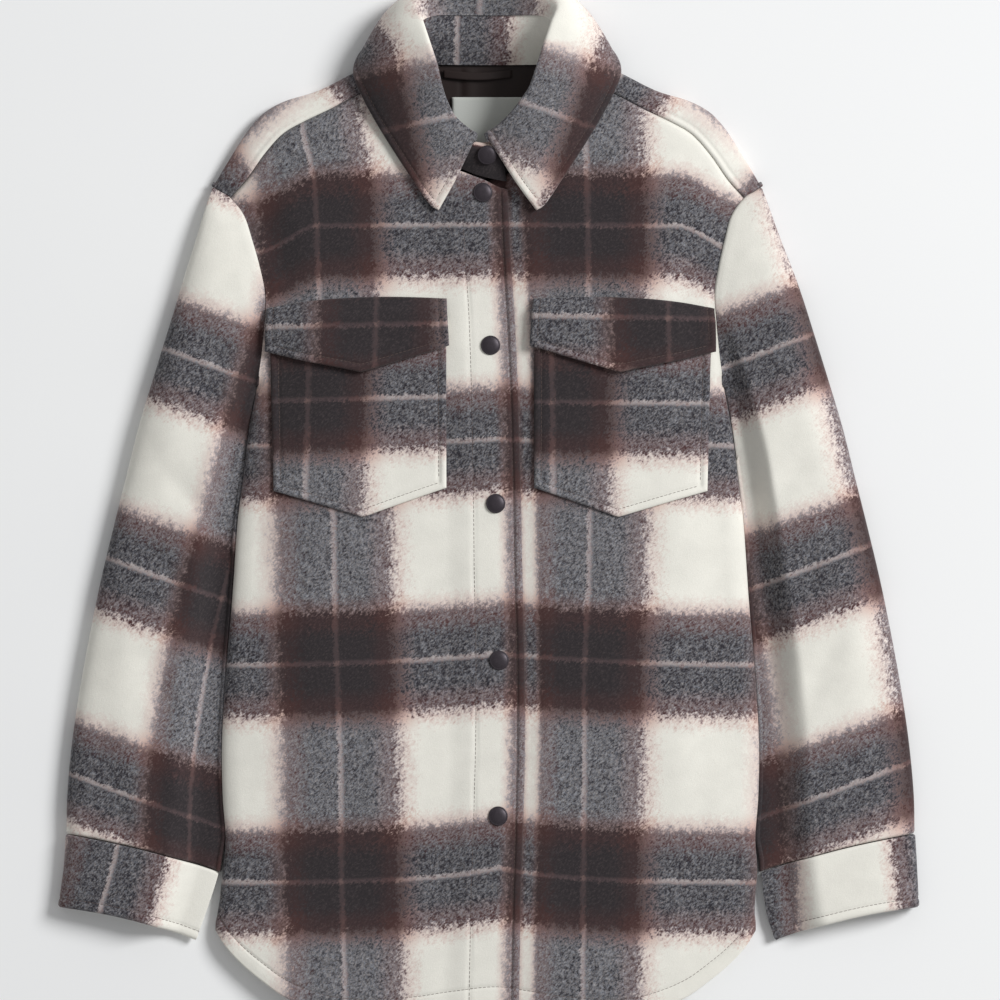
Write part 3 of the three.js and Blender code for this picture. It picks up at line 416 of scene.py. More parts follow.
def normals_of(grid, wrap):
    if wrap:
        ringed = np.concatenate([grid[:, -1:], grid, grid[:, :1]], 1)
        across = np.gradient(ringed, axis=1)[:, 1:-1]
    else:
        across = np.gradient(grid, axis=1)
    normal = np.cross(np.gradient(grid, axis=0), across)
    return normal / np.maximum(np.linalg.norm(normal, axis=2, keepdims=True), 1e-9)


def edge_lengths(grid):
    """Distance of each point from each of the grid's four edges, along the cloth."""
    step_u = np.linalg.norm(np.diff(grid, axis=1), axis=2)
    step_v = np.linalg.norm(np.diff(grid, axis=0), axis=2)
    run_u = np.concatenate([np.zeros((grid.shape[0], 1)), np.cumsum(step_u, 1)], 1)
    run_v = np.concatenate([np.zeros((1, grid.shape[1])), np.cumsum(step_v, 0)], 0)
    return {"u0": run_u, "u1": run_u[:, -1:] - run_u, "v0": run_v, "v1": run_v[-1:] - run_v}


def nearest_edge(lengths, sides):
    return np.minimum.reduce([lengths[side] for side in sides.split()])


def grid_faces(rows_count, columns, wrap, start, flip):
    wide = columns if wrap else columns - 1
    j, i = np.meshgrid(np.arange(rows_count - 1), np.arange(wide), indexing="ij")
    a = (start + j * columns + i).ravel()
    b = (start + j * columns + (i + 1) % columns).ravel()
    faces = np.stack([a, a + columns, b + columns, b], 1)
    return faces[:, ::-1] if flip else faces


def rim_faces(ring, count, flip):
    after = np.roll(ring, -1)
    faces = np.stack([ring, after, after + count, ring + count], 1)
    return faces[:, ::-1] if flip else faces


def shell_mesh(top, low, uv, flip):
    """A closed wall between two grids, with the check's place at each point."""
    m, n = top.shape[:2]
    count = m * n
    index = np.arange(count).reshape(m, n)
    ring = np.concatenate([index[0, :-1], index[:-1, -1], index[-1, :0:-1], index[:0:-1, 0]])
    faces = [grid_faces(m, n, False, 0, flip), grid_faces(m, n, False, count, not flip),
             rim_faces(ring, count, flip)]
    points = np.concatenate([top.reshape(-1, 3), low.reshape(-1, 3)])
    return points, np.concatenate(faces), np.concatenate([uv.reshape(-1, 2)] * 2)


def add_object(name, data):
    made = bpy.data.objects.new(name, data)
    bpy.context.scene.collection.objects.link(made)
    return made


def add_piece(name, mesh, material, replaced):
    mesh.polygons.foreach_set("use_smooth", np.ones(len(mesh.polygons), bool))
    mesh.materials.append(material)
    piece = add_object(name, mesh)
    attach(piece, "root")
    if replaced:
        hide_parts(*replaced)


def make_object(name, parts, material, replaced=()):
    """One object from several walls, each given as points in millimetres, faces and check places."""
    mesh = bpy.data.meshes.new(name)
    points, faces, places, start = [], [], [], 0
    for part_points, part_faces, part_places in parts:
        points.append(part_points)
        faces.append(part_faces + start)
        places.append(part_places)
        start += len(part_points)
    points, places = np.concatenate(points), np.concatenate(places)
    points[:, 0] += lean(points[:, 0], points[:, 1])
    mesh.from_pydata((points * MM).tolist(), [], np.concatenate(faces).tolist())
    layer = mesh.uv_layers.new(name="check")
    corner = np.empty(len(mesh.loops), int)
    mesh.loops.foreach_get("vertex_index", corner)
    layer.data.foreach_set("uv", places[corner].ravel())
    mesh.update()
    add_piece(name, mesh, material, replaced)


THINNEST = 0.12  # share of the cloth's thickness left at a rounded edge
SHARP_THINNEST = 0.3  # and at a sharp edge, which is rounded over SHARP_RADIUS
SHARP_RADIUS = 0.7
PUFF = 0.35  # rise of the cloth between an edge and its stitching


def shell(grid, uv, thick, rounded, radius, sharp=(), wrap=False, flip=False, middle=False, grooves=()):
    """A wall of cloth from its outer grid (or its middle one), its cut edges rounded and stitch lines sunk.

    A wrapped grid ends on the column that it starts with, at its seam. Edges in sharp are rounded less.
    Returns the mesh parts and the outer grid with its normals, for what is sewn on it."""
    sign = -1 if flip else 1
    if wrap:
        normal = normals_of(grid[:, :-1], True)
        normal = np.concatenate([normal, normal[:, :1]], 1) * sign
    else:
        normal = normals_of(grid, False) * sign
    half = np.broadcast_to(np.asarray(thick, float) / 2, grid.shape[:2])
    core = grid.copy() if middle else grid - normal * half[..., None]
    if not middle:
        core[..., 2] = np.maximum(core[..., 2], half)
    lengths = edge_lengths(grid)
    half = half * np.maximum(THINNEST, arch(nearest_edge(lengths, rounded) / radius))
    for side in sharp:
        half = half * np.maximum(SHARP_THINNEST, arch(lengths[side] / SHARP_RADIUS))
    sunk = np.zeros(grid.shape[:2])
    for sides, inset, deep, wide in grooves:
        edge = nearest_edge(lengths, sides)
        sunk += deep * np.exp(-((edge - inset) / wide) ** 2)
        sunk -= PUFF * np.exp(-((edge - inset / 2) / (inset / 3)) ** 2)
    top = core + normal * (half - sunk)[..., None]
    low = core - normal * half[..., None]
    return shell_mesh(top, low, uv, flip), (top, normal, lengths)


def stitch_path(surface, side, inset, others=""):
    """Points at a fixed distance from one edge of a sewn surface, clear of the other edges."""
    top, normal, lengths = surface
    run = lengths[side]
    if side in ("v0", "v1"):
        top, normal, run = top.transpose(1, 0, 2), normal.transpose(1, 0, 2), run.T
    if side in ("u1", "v1"):
        top, normal, run = top[:, ::-1], normal[:, ::-1], run[:, ::-1]
    points, ups = [], []
    other_runs = {k: (lengths[k].T if side in ("v0", "v1") else lengths[k]) for k in others.split()}
    for j in range(run.shape[0]):
        i = int(np.clip(np.searchsorted(run[j], inset), 1, run.shape[1] - 1))
        t = np.clip((inset - run[j, i - 1]) / max(run[j, i] - run[j, i - 1], 1e-6), 0, 1)
        column = (run.shape[1] - 1 - i) if side in ("u1", "v1") else i
        if any(other[j, column] < inset for other in other_runs.values()):
            continue
        points.append(mix(top[j, i - 1], top[j, i], t))
        ups.append(normal[j, i])
    return np.array(points), np.array(ups)


def stitch_parts(paths):
    """Short rounded threads along paths, each sunk half its thickness into the cloth."""
    parts = []
    profile = np.array([[-0.5, 0.25], [-0.36, 0.85], [0, 1], [0.36, 0.85], [0.5, 0.25]])
    turn = np.linspace(0, 2 * math.pi, STITCH_SIDES, endpoint=False)
    for path, ups in paths:
        run = np.concatenate([[0], np.cumsum(np.linalg.norm(np.diff(path, axis=0), axis=1))])
        at = np.arange(STITCH_PITCH / 2, run[-1] - STITCH_PITCH / 2, STITCH_PITCH)
        if len(at) == 0:
            continue
        place = lambda s: np.stack([np.interp(s, run, path[:, k]) for k in range(3)], 1)
        up = np.stack([np.interp(at, run, ups[:, k]) for k in range(3)], 1)
        centre = place(at)
        direction = place(at + 1) - place(at - 1)
        direction /= np.maximum(np.linalg.norm(direction, axis=1, keepdims=True), 1e-9)
        side = np.cross(direction, up)
        side /= np.maximum(np.linalg.norm(side, axis=1, keepdims=True), 1e-9)
        rings = []
        for offset, share in profile:
            for angle in turn:
                rings.append(centre + direction * offset * STITCH_LENGTH
                             + (side * math.cos(angle) + up * math.sin(angle)) * STITCH_RADIUS * share
                             - up * STITCH_RADIUS * 0.25)
        points = np.stack(rings, 1).reshape(-1, 3)
        one = grid_faces(len(profile), STITCH_SIDES, True, 0, False)[:, [0, 3, 2, 1]]
        per = len(profile) * STITCH_SIDES
        faces = np.concatenate([one + i * per for i in range(len(at))])
        parts.append((points, faces, np.zeros((len(points), 2))))
    return parts


# Spacing of grid lines
def spread(count, low_dense=True, high_dense=True):
    """Shares from 0 to 1, closer together at the ends that are dense."""
    t = np.linspace(0, 1, count)
    if low_dense and high_dense:
        return 0.5 - 0.5 * np.cos(math.pi * t)
    return np.sin(math.pi * t / 2) if high_dense else 1 - np.cos(math.pi * t / 2)


def photo(x, y):
    return (x + lean(x, y)) / PIXEL + PHOTO_X, PHOTO_Y - y / PIXEL


def body_weft(x, y):
    off = np.abs(x + lean(x, y) - CENTRE_X)
    reach = mix(95, 55, ease((-y - 150) / 150))
    deep = 1.6 + 9.4 * ease((228 - y) / 352) + 1.6 * ease((-124 - y) / 170)
    drop = deep * (1 - np.exp(-off / reach))
    drop = drop + 21 * ease((off - 146) / 52) * ease((y - 120) / 60)
    return (BODY_WEFT_Y - (y + drop)) / BODY_WEFT_REPEAT


# Beside the placket's free edge: distance from it and the warp's place there
UPPER_EDGE = rows("off place", [[0, 0.19], [8, 0.222], [14, 0.262], [20, 0.335], [27, 0.4]])
LOWER_EDGE = rows("off place", [
    [-60, -0.1], [-3, -0.2], [0, -0.26], [4, -0.325], [8, -0.315], [11, -0.262], [14, -0.222],
])


def right_front_check(x, y):
    line = along(RIGHT_FRONT_LINE, "y", "x", np.clip(y, -406, 304))
    warp = (x + lean(x, y) - line) / WARP_REPEAT
    off = placket_x(y) - x
    warp = mix(1 - np.interp(off, UPPER_EDGE["off"], UPPER_EDGE["place"]), warp, ease((off - 24) / 14))
    return np.stack([warp, body_weft(x, y)], -1)


def left_front_check(x, y):
    line = along(LEFT_FRONT_LINE, "y", "x", np.clip(y, -401, 306))
    off = x + lean(x, y) - line
    past = x - placket_x(y)
    edge_place = np.interp(past, LOWER_EDGE["off"], LOWER_EDGE["place"])
    band_start = 14 - (line - placket_x(y))
    inside = -0.222 * off / band_start
    warp = np.where(past < 14, edge_place, np.where(off < 0, inside, off / WARP_REPEAT))
    return np.stack([warp, body_weft(x, y)], -1)


def planar_check(x, y, warp_x, weft_y, tilt):
    x = x + lean(x, y)
    return np.stack([(x - warp_x - tilt * (y - weft_y)) / WARP_REPEAT,
                     (weft_y - y + tilt * (x - warp_x)) / WEFT_REPEAT], -1)


def shoulder_check(x, y, side):
    """The yoke's check runs along the shoulder."""
    px, py = photo(x, y)
    if side < 0:
        length = ((355 - px) * 0.765 + (py - 85) * 0.644) * PIXEL
        out = ((308 - px) * 0.644 + (125 - py) * 0.765) * PIXEL
        line = -25.4
    else:
        length = ((px - 619) * 0.782 + (py - 80) * 0.623) * PIXEL
        out = ((px - 649) * 0.623 + (105.6 - py) * 0.782) * PIXEL
        line = -1.6
    return out, length, line


def sleeve_check(x, y, side, part):
    """Weft lines slope across the sleeve; warp lines follow its outer edge."""
    px, py = photo(x, y)
    order = np.argsort(SLEEVE["oy"])
    outer = np.interp(y, SLEEVE["oy"][order], SLEEVE["ox"][order])
    inner = np.interp(y, SIDE["y"], SIDE["x"])
    inward = around(outer - np.abs(x), outer - inner, part)
    if side < 0:
        weft = (0.9409 * py - 0.3387 * px - 272.5) / 216
        inward = inward + 4 * ease((py - 500) / 150)
        warp = np.interp(inward, [-160, 20, 58, 71, 105, 250], [-1.43, -0.5, -0.32, -0.235, 0, 0.93])
        weft = weft + 0.18 * np.clip(weft - 2, 0, 0.3)
    else:
        weft = (0.9367 * py + 0.3502 * px - 597.5) / 217.6
        warp = (inward + 48 - 8 * ease((py - 230) / 170)) / WARP_REPEAT
    return np.stack([warp, weft], -1)


def leaf_check(x, y, share):
    """The collar leaf's check follows each half of the leaf, and meets at the centre back."""
    px, py = photo(x, y)
    at_back = ease((y - 372) / 30)
    right = px < 488
    weft_r = (0.204 * px + 0.979 * py - 207) / 236
    warp_r = (0.979 * px - 0.204 * py - 321) / 236
    weft_l = (0.945 * py - 0.328 * px + 73.5) / 236
    warp_l = (636 - 0.945 * px - 0.328 * py) / 236
    weft_back = np.abs(480 - px) / 236 - 1
    warp_back = (59 + (0.6 - share) * 90) / 236
    weft = mix(np.where(right, weft_r, weft_l), weft_back, at_back)
    warp = mix(np.where(right, warp_r, warp_l), warp_back, at_back)
    return np.stack([weft, warp], -1)


# Colours, as they look in the photograph's light
def linear(red, green, blue):
    channels = [c / 255 for c in (red, green, blue)]
    return tuple(c / 12.92 if c <= 0.04045 else ((c + 0.055) / 1.055) ** 2.4 for c in channels) + (1,)


CREAM = linear(239, 237, 228)
PEACH = linear(214, 184, 173)
LINE = linear(128, 104, 100)
RUST = linear(82, 52, 49)
CHARCOAL = linear(47, 44, 47)
NAP_LOW = linear(42, 38, 40)
NAP = linear(60, 53, 54)
NAP_HIGH = linear(96, 86, 86)
PLUM_TINT = (1.0, 0.95, 1.02, 1)
BLUE_TINT = (0.84, 0.93, 1.2, 1)


# Materials
def new_material(name):
    material = bpy.data.materials.new(name)
    material.use_nodes = True
    tree = material.node_tree
    shader = tree.nodes["Principled BSDF"]
    return material, tree, shader


def node(tree, kind, **settings):
    made = tree.nodes.new(kind)
    for key, value in settings.items():
        setattr(made, key, value)
    return made


def link(tree, source, target):
    if hasattr(source, "links"):
        tree.links.new(source, target)
    else:
        target.default_value = source


def maths(tree, operation, a, b=0.0, clamp=False):
    made = node(tree, "ShaderNodeMath", operation=operation, use_clamp=clamp)
    link(tree, a, made.inputs[0])
    link(tree, b, made.inputs[1])
    return made.outputs[0]


def noise(tree, vector, scale, detail=2.0, roughness=0.5):
    made = node(tree, "ShaderNodeTexNoise")
    tree.links.new(vector, made.inputs["Vector"])
    made.inputs["Scale"].default_value = scale
    made.inputs["Detail"].default_value = detail
    made.inputs["Roughness"].default_value = roughness
    return made.outputs["Fac"]


def mapped(tree, vector, scale, turn=0.0, shift=(0, 0, 0)):
    made = node(tree, "ShaderNodeMapping")
    tree.links.new(vector, made.inputs["Vector"])
    made.inputs["Scale"].default_value = scale
    made.inputs["Rotation"].default_value = (0, 0, math.radians(turn))
    made.inputs["Location"].default_value = shift
    return made.outputs["Vector"]


def ramp(tree, value, stops):
    made = node(tree, "ShaderNodeValToRGB")
    tree.links.new(value, made.inputs["Fac"])
    elements = made.color_ramp.elements
    for _ in range(len(stops) - len(elements)):
        elements.new(0.5)
    for element, (place, colour) in zip(elements, stops):
        element.position = place
        element.color = colour if isinstance(colour, tuple) else (colour, colour, colour, 1)
    return made.outputs["Color"]


def scaled(tree, value, by):
    return maths(tree, "MULTIPLY", value, by)


def object_place(tree):
    return node(tree, "ShaderNodeTexCoord").outputs["Object"]


def paint(tree, shader, colour):
    tree.links.new(colour, shader.inputs["Base Color"])


def set_inputs(shader, **values):
    """Sets a node's inputs, each named with _ for a space."""
    for key, value in values.items():
        shader.inputs[key.replace("_", " ")].default_value = value


def add_bump(tree, shader, height, strength, distance):
    bump = node(tree, "ShaderNodeBump")
    set_inputs(bump, Strength=strength, Distance=distance)
    tree.links.new(height, bump.inputs["Height"])
    tree.links.new(bump.outputs[0], shader.inputs["Normal"])


def blend(tree, share, a, b, mode="MIX"):
    made = node(tree, "ShaderNodeMix", data_type="RGBA", blend_type=mode)
    link(tree, share, made.inputs[0])
    link(tree, a, made.inputs[6])
    link(tree, b, made.inputs[7])
    return made.outputs[2]


# Share of half a repeat, from the thin line outwards, at which each band of the check ends. The last
# value is how dark the thin line counts.
WARP_BANDS = dict(charcoal=0.27, rust=0.4, end=0.46, peach=0.55, cream=0.67, line_dark=0.62)
WEFT_BANDS = dict(charcoal=0.24, rust=0.37, end=0.45, peach=0.525, cream=0.635, line_dark=0.45)
LINE_HALF = 0.011  # half the thin line's width


def band_stops(bands, charcoal, rust, peach, cream):
    return [
        (0.0, charcoal), (bands["charcoal"], charcoal), (bands["rust"], rust), (bands["end"], rust),
        (bands["peach"], peach), (bands["cream"], cream),
    ]


def from_line(tree, place):
    """Distance from the nearest thin line, as a share of half a repeat."""
    inside = maths(tree, "FRACT", maths(tree, "ADD", place, 100.5))
    return maths(tree, "MULTIPLY", maths(tree, "ABSOLUTE", maths(tree, "SUBTRACT", inside, 0.5)), 2.0)


def stripe(tree, place, shift, bands):
    """Colour and darkness of one thread direction, from its place in repeats and how it is roughened."""
    off = from_line(tree, maths(tree, "ADD", place, shift))
    colour = ramp(tree, off, band_stops(bands, CHARCOAL, RUST, PEACH, CREAM))
    dark = ramp(tree, off, band_stops(bands, 1.0, 0.92, 0.15, 0.0))
    steady = from_line(tree, maths(tree, "ADD", place, scaled(tree, shift, 0.3)))
    on_line = ramp(tree, steady, [(0.0, 0.85), (LINE_HALF, 0.8), (LINE_HALF + 0.02, 0.0)])
    colour = blend(tree, on_line, colour, LINE)
    share = bands["line_dark"]
    dark = blend(tree, on_line, dark, (share, share, share, 1))
    return colour, dark


def wool_material():
    """Brushed twill: at each spot either the warp or the weft thread shows, darker ones more often."""
    material, tree, shader = new_material("wool_check")
    uv = node(tree, "ShaderNodeUVMap", uv_map="check").outputs["UV"]
    cloth = mapped(tree, object_place(tree), (1 / MM,) * 3)
    brushed = mapped(tree, cloth, (1, 1, 1), 48)
    fibre = noise(tree, mapped(tree, brushed, (0.72, 0.36, 0.5)), 1.0, 4.0, 0.72)
    fluffed = mapped(tree, cloth, (1, 1, 1), 40)
    fuzz = noise(tree, mapped(tree, fluffed, (2.2, 1.2, 1.5)), 1.0, 2.0, 0.6)
    mottle = noise(tree, mapped(tree, cloth, (0.26, 0.19, 0.2), 35), 1.0, 3.0, 0.6)
    heather = noise(tree, mapped(tree, cloth, (0.9, 0.5, 0.5), 0, (40, 7, 3)), 1.0, 3.0, 0.7)
    cloud = noise(tree, cloth, 0.06, 2.0)
    split = node(tree, "ShaderNodeSeparateXYZ")
    tree.links.new(uv, split.inputs[0])
    ragged = maths(tree, "SUBTRACT", fibre, 0.5)
    patchy = maths(tree, "SUBTRACT", mottle, 0.5)
    shift = maths(tree, "ADD", scaled(tree, ragged, 0.15), scaled(tree, patchy, 0.1))
    warp, warp_dark = stripe(tree, split.outputs[0], shift, WARP_BANDS)
    weft, weft_dark = stripe(tree, split.outputs[1], scaled(tree, shift, -1.0), WEFT_BANDS)
    grain = maths(tree, "ADD", scaled(tree, ragged, 1.05),
                  scaled(tree, maths(tree, "SUBTRACT", fuzz, 0.5), 0.45))
    grain = maths(tree, "ADD", grain, scaled(tree, patchy, 0.35))
    darker = maths(tree, "SUBTRACT", weft_dark, warp_dark)
    favour = scaled(tree, darker, 0.365)
    shown = maths(tree, "ADD", maths(tree, "ADD", grain, favour), 0.53, clamp=True)
    colour = blend(tree, shown, warp, weft)
    uneven = ramp(tree, cloud, [(0.3, 0.94), (0.7, 1.0)])
    colour = blend(tree, 1.0, colour, uneven, "MULTIPLY")
    # Fibres over the dark squares, faint flecks over all, and a tint where dark threads cross light ones
    both_dark = maths(tree, "MULTIPLY", warp_dark, weft_dark)
    nap = ramp(tree, fibre, [(0.34, NAP_LOW), (0.52, NAP), (0.7, NAP_HIGH)])
    colour = blend(tree, maths(tree, "MULTIPLY", both_dark, 0.4), colour, nap)
    flecks = ramp(tree, fuzz, [(0.3, 0.94), (0.62, 1.0)])
    colour = blend(tree, 1.0, colour, flecks, "MULTIPLY")
    mixed = scaled(tree, maths(tree, "ABSOLUTE", darker), 0.8)
    tint = ramp(tree, heather, [(0.35, PLUM_TINT), (0.65, BLUE_TINT)])
    colour = blend(tree, mixed, colour, blend(tree, 1.0, colour, tint, "MULTIPLY"))
    paint(tree, shader, colour)
    set_inputs(shader, Roughness=0.95, Specular_IOR_Level=0.12, Sheen_Weight=0.22, Sheen_Roughness=0.5)
    height = maths(tree, "ADD", scaled(tree, fibre, 0.7), scaled(tree, fuzz, 0.6))
    add_bump(tree, shader, height, 0.5, 0.0006)
    return material


def satin_material():
    material, tree, shader = new_material("satin_lining")
    place = object_place(tree)
    weave = noise(tree, mapped(tree, place, (1500, 300, 1)), 1.0, 2.0)
    slow = noise(tree, place, 30.0, 2.0)
    base = blend(tree, slow, linear(29, 19, 18), linear(42, 30, 28))
    paint(tree, shader, blend(tree, weave, base, linear(36, 25, 23)))
    set_inputs(shader, Specular_IOR_Level=0.3, Roughness=0.55, Sheen_Weight=0.06)
    add_bump(tree, shader, weave, 0.2, 0.0002)
    return material


def label_material():
    material, tree, shader = new_material("woven_label")
    place = object_place(tree)
    weave = noise(tree, mapped(tree, place, (2600, 1100, 1)), 1.0, 1.0)
    paint(tree, shader, blend(tree, weave, linear(190, 193, 188), linear(212, 215, 210)))
    set_inputs(shader, Roughness=0.6)
    add_bump(tree, shader, weave, 0.25, 0.0001)
    return material


def snap_material():
    material, tree, shader = new_material("snap_metal")
    place = object_place(tree)
    grain = noise(tree, place, 900.0, 3.0)
    paint(tree, shader, blend(tree, grain, linear(52, 46, 52), linear(72, 66, 72)))
    tree.links.new(ramp(tree, grain, [(0.3, 0.4), (0.7, 0.52)]), shader.inputs["Roughness"])
    set_inputs(shader, Metallic=0.55)
    add_bump(tree, shader, grain, 0.12, 0.0001)
    return material


def thread_material():
    material, tree, shader = new_material("thread")
    place = object_place(tree)
    ply = noise(tree, place, 1800.0, 2.0)
    paint(tree, shader, blend(tree, ply, linear(78, 64, 60), linear(100, 84, 78)))
    set_inputs(shader, Roughness=0.8)
    return material


wool = wool_material()
satin = satin_material()
label_cloth = label_material()
snap_metal = snap_material()
thread = thread_material()


# Fronts
def coons(left, right, top, low, shares):
    """A grid between four edges: left and right by row, top and low by column."""
    lengths = np.concatenate([[0], np.cumsum(np.hypot(*np.diff(right, axis=0).T))])
    v = (lengths / lengths[-1])[:, None, None]
    u = shares[None, :, None]
    top_line, low_line = top(shares)[None], low(shares)[None]
    left_line, right_line = left(v[:, 0, 0])[:, None], right[:, None]
    corners = mix(mix(top_line[:, :1], top_line[:, -1:], u), mix(low_line[:, :1], low_line[:, -1:], u), v)
    return mix(top_line, low_line, v) + mix(left_line, right_line, u) - corners


def resampled(line, count, high_dense):
    even = np.linspace(0, 1, count)
    return at_share(line, mix(even, spread(count, False, True), 0.75) if high_dense else even)


NECK_CORNER_X = 73  # where the neck's edge meets the yoke's seam
NECK_SHARE = 0.35
FRONT_ROWS = 250
FRONT_COLUMNS = 150


def front_plan(centre):
    neck_x = float(centre(258))
    neck_y = float(along(NECK, "x", "y", neck_x))
    hem_x = float(centre(-411))
    hem_y = float(along(HEM, "x", "y", hem_x))
    outer = np.concatenate([ARMHOLE_LINE[YOKE_CORNER * ARMHOLE_STEPS:], SIDE_DOWN[1:]])
    outer = resampled(outer, FRONT_ROWS, True)
    neck_x_line = np.linspace(neck_x, NECK_CORNER_X, 60)
    neck_line = np.stack([neck_x_line, along(NECK, "x", "y", neck_x_line)], 1)

    def top(u):
        neck = at_share(neck_line, np.clip(u / NECK_SHARE, 0, 1))
        seam = at_share(YOKE_LINE, np.clip((u - NECK_SHARE) / (1 - NECK_SHARE), 0, 1))
        seam[:, 1] -= SEAM / 2
        return np.where((u < NECK_SHARE)[:, None], neck, seam)

    def low(u):
        x = mix(hem_x, HEM_CORNER_X, u)
        return np.stack([x, along(HEM, "x", "y", x)], -1)

    def left(v):
        y = mix(neck_y, hem_y, v)
        return np.stack([centre(y), y], -1)

    return coons(left, outer, top, low, spread(FRONT_COLUMNS))


def front(name, side, centre, height, check, thick, grooves):
    plan = front_plan(centre)
    x, y = side * plan[..., 0], plan[..., 1]
    grid = np.stack([x, y, height(x, y)], -1)
    parts, surface = shell(grid, check(x, y), thick(x, y), "u0 v1", 1.7, ["v0"],
                           flip=side < 0, grooves=grooves)
    make_object(name, [parts], wool, [name])
    return surface


left_surface = front(
    "front_left", 1, lambda y: placket_x(y) - PLACKET_WIDTH + 1, lower_height, left_front_check,
    lambda x, y: np.full(x.shape, CLOTH), [("v1", HEM_DEPTH, 0.7, 1.3)])
right_surface = front(
    "front_right", -1, lambda y: -placket_x(y), upper_height, right_front_check,
    lambda x, y: mix(CLOTH, DOUBLE_CLOTH, ease((x - placket_x(y) + PLACKET_WIDTH + 4) / 4)),
    [("v1", HEM_DEPTH, 0.7, 1.3), ("u0", PLACKET_WIDTH, 0.9, 1.1), ("u0", EDGE_STITCH, 1.3, 1.0)])


# Back and yoke
def back():
    outer = np.concatenate([ARMHOLE_LINE[BACK_CORNER * ARMHOLE_STEPS:], SIDE_DOWN[1:]])
    outer = resampled(outer, 120, False)
    top_y = outer[0, 1] - SEAM / 2

    def top(u):
        return np.stack([mix(0, outer[0, 0], u), np.full(u.shape, top_y)], -1)

    def low(u):
        x = mix(0, HEM_CORNER_X, u)
        return np.stack([x, along(HEM, "x", "y", x) + 1.5 * (u < 1)], -1)

    def left(v):
        return np.stack([np.zeros(v.shape), mix(top_y, low(np.zeros(1))[0, 1], v)], -1)

    half = coons(left, outer, top, low, spread(56, False, True))
    plan = np.concatenate([half[:, :0:-1] * [-1, 1], half], 1)
    x, y = plan[..., 0], plan[..., 1]
    z = under_height(x, y)
    z = np.where(to_edge(x, y) < 0.4, z - SEAM, z)
    check = np.stack([x / WARP_REPEAT + 0.5, body_weft(np.full(x.shape, 230.0), y)], -1)
    parts, _ = shell(np.stack([x, y, z], -1), check, CLOTH, "v0 v1", 1.4, flip=True)
    make_object("back", [parts], wool, ["back"])


def yoke_check(x, y, side):
    out, length, line = shoulder_check(x, y, side)
    return np.stack([(out - NECK_CORNER_X) / WARP_REPEAT, (length - line) / WEFT_REPEAT], -1)


def yoke():
    seam_y = ARMHOLE["y"][BACK_CORNER] + SEAM / 2
    share = spread(90)
    tip_first = SHOULDER_LINE[::-1]
    seam = at_share(YOKE_LINE, share)
    seam[:, 1] += SEAM / 2
    edge = at_share(tip_first, share)
    end = np.stack([mix(NECK_CORNER_X, ARMHOLE["x"][BACK_CORNER], share), np.full(share.shape, seam_y)], -1)
    over = spread(30, False, True)
    under = spread(34, True, False)[1:]
    straight = mix(edge[:, None], end[:, None], under[None, :, None])
    arm = at_share(ARMHOLE_LINE[:BACK_CORNER * ARMHOLE_STEPS + 1], under)
    bend = (arm - straight[-1]) * ease((share - 0.8) / 0.2)[:, None, None]
    plan = np.concatenate([mix(seam[:, None], edge[:, None], over[None, :, None]), straight + bend], 1)
    x, y = plan[..., 0], plan[..., 1]
    on_top = np.arange(plan.shape[1])[None, :] < len(over)
    z = np.where(on_top, top_height(x, y) + yoke_relief(x, y), under_height(x, y))
    across_share = spread(40, True, False)
    neck = at_share(np.stack([BACK_NECK["x"], BACK_NECK["y"]], 1), across_share)
    down = np.concatenate([[0], under])
    across_plan = np.stack([np.broadcast_to(neck[:, :1], (40, len(down))),
                            mix(neck[:, 1:], seam_y, down[None, :])], -1)
    parts = []
    for side in (1, -1):
        grid = np.stack([side * x, y, z], -1)
        made, _ = shell(grid, yoke_check(side * x, y, side), CLOTH, "v0 v1", 1.5, ["u0"], flip=side < 0,
                        grooves=[("u0", 5.2, 0.5, 1.1)])
        parts.append(made)
        ax, ay = side * across_plan[..., 0], across_plan[..., 1]
        flat = np.stack([ax, ay, under_height(ax, ay)], -1)
        made, _ = shell(flat, yoke_check(ax, ay, side), CLOTH, "u0", 1.5, flip=side > 0)
        parts.append(made)
    make_object("yoke", parts, wool, ["yoke"])


def yoke_relief(x, y):
    return valley(distance_to(ARMHOLE_COARSE, np.abs(x), y), 1.2, 5) + 0.5 * sway(x, y)


# Sleeves and cuffs
SLEEVE_SQUARENESS = 3.8
TUCK_FROM = 0.64  # share of the width, from the outer edge, at which the inner side starts to sink
TUCK_OVER = 0.24
TUCK_DEPTH = 0.93  # how far it sinks beside the body, as a share
TUCK_BELOW = 190  # a sleeve sinks below this y, and fully TUCK_FADE lower
TUCK_FADE = 90
UNDER_SEAM = 0.85  # where the sleeve's seam runs underneath, from its outer edge


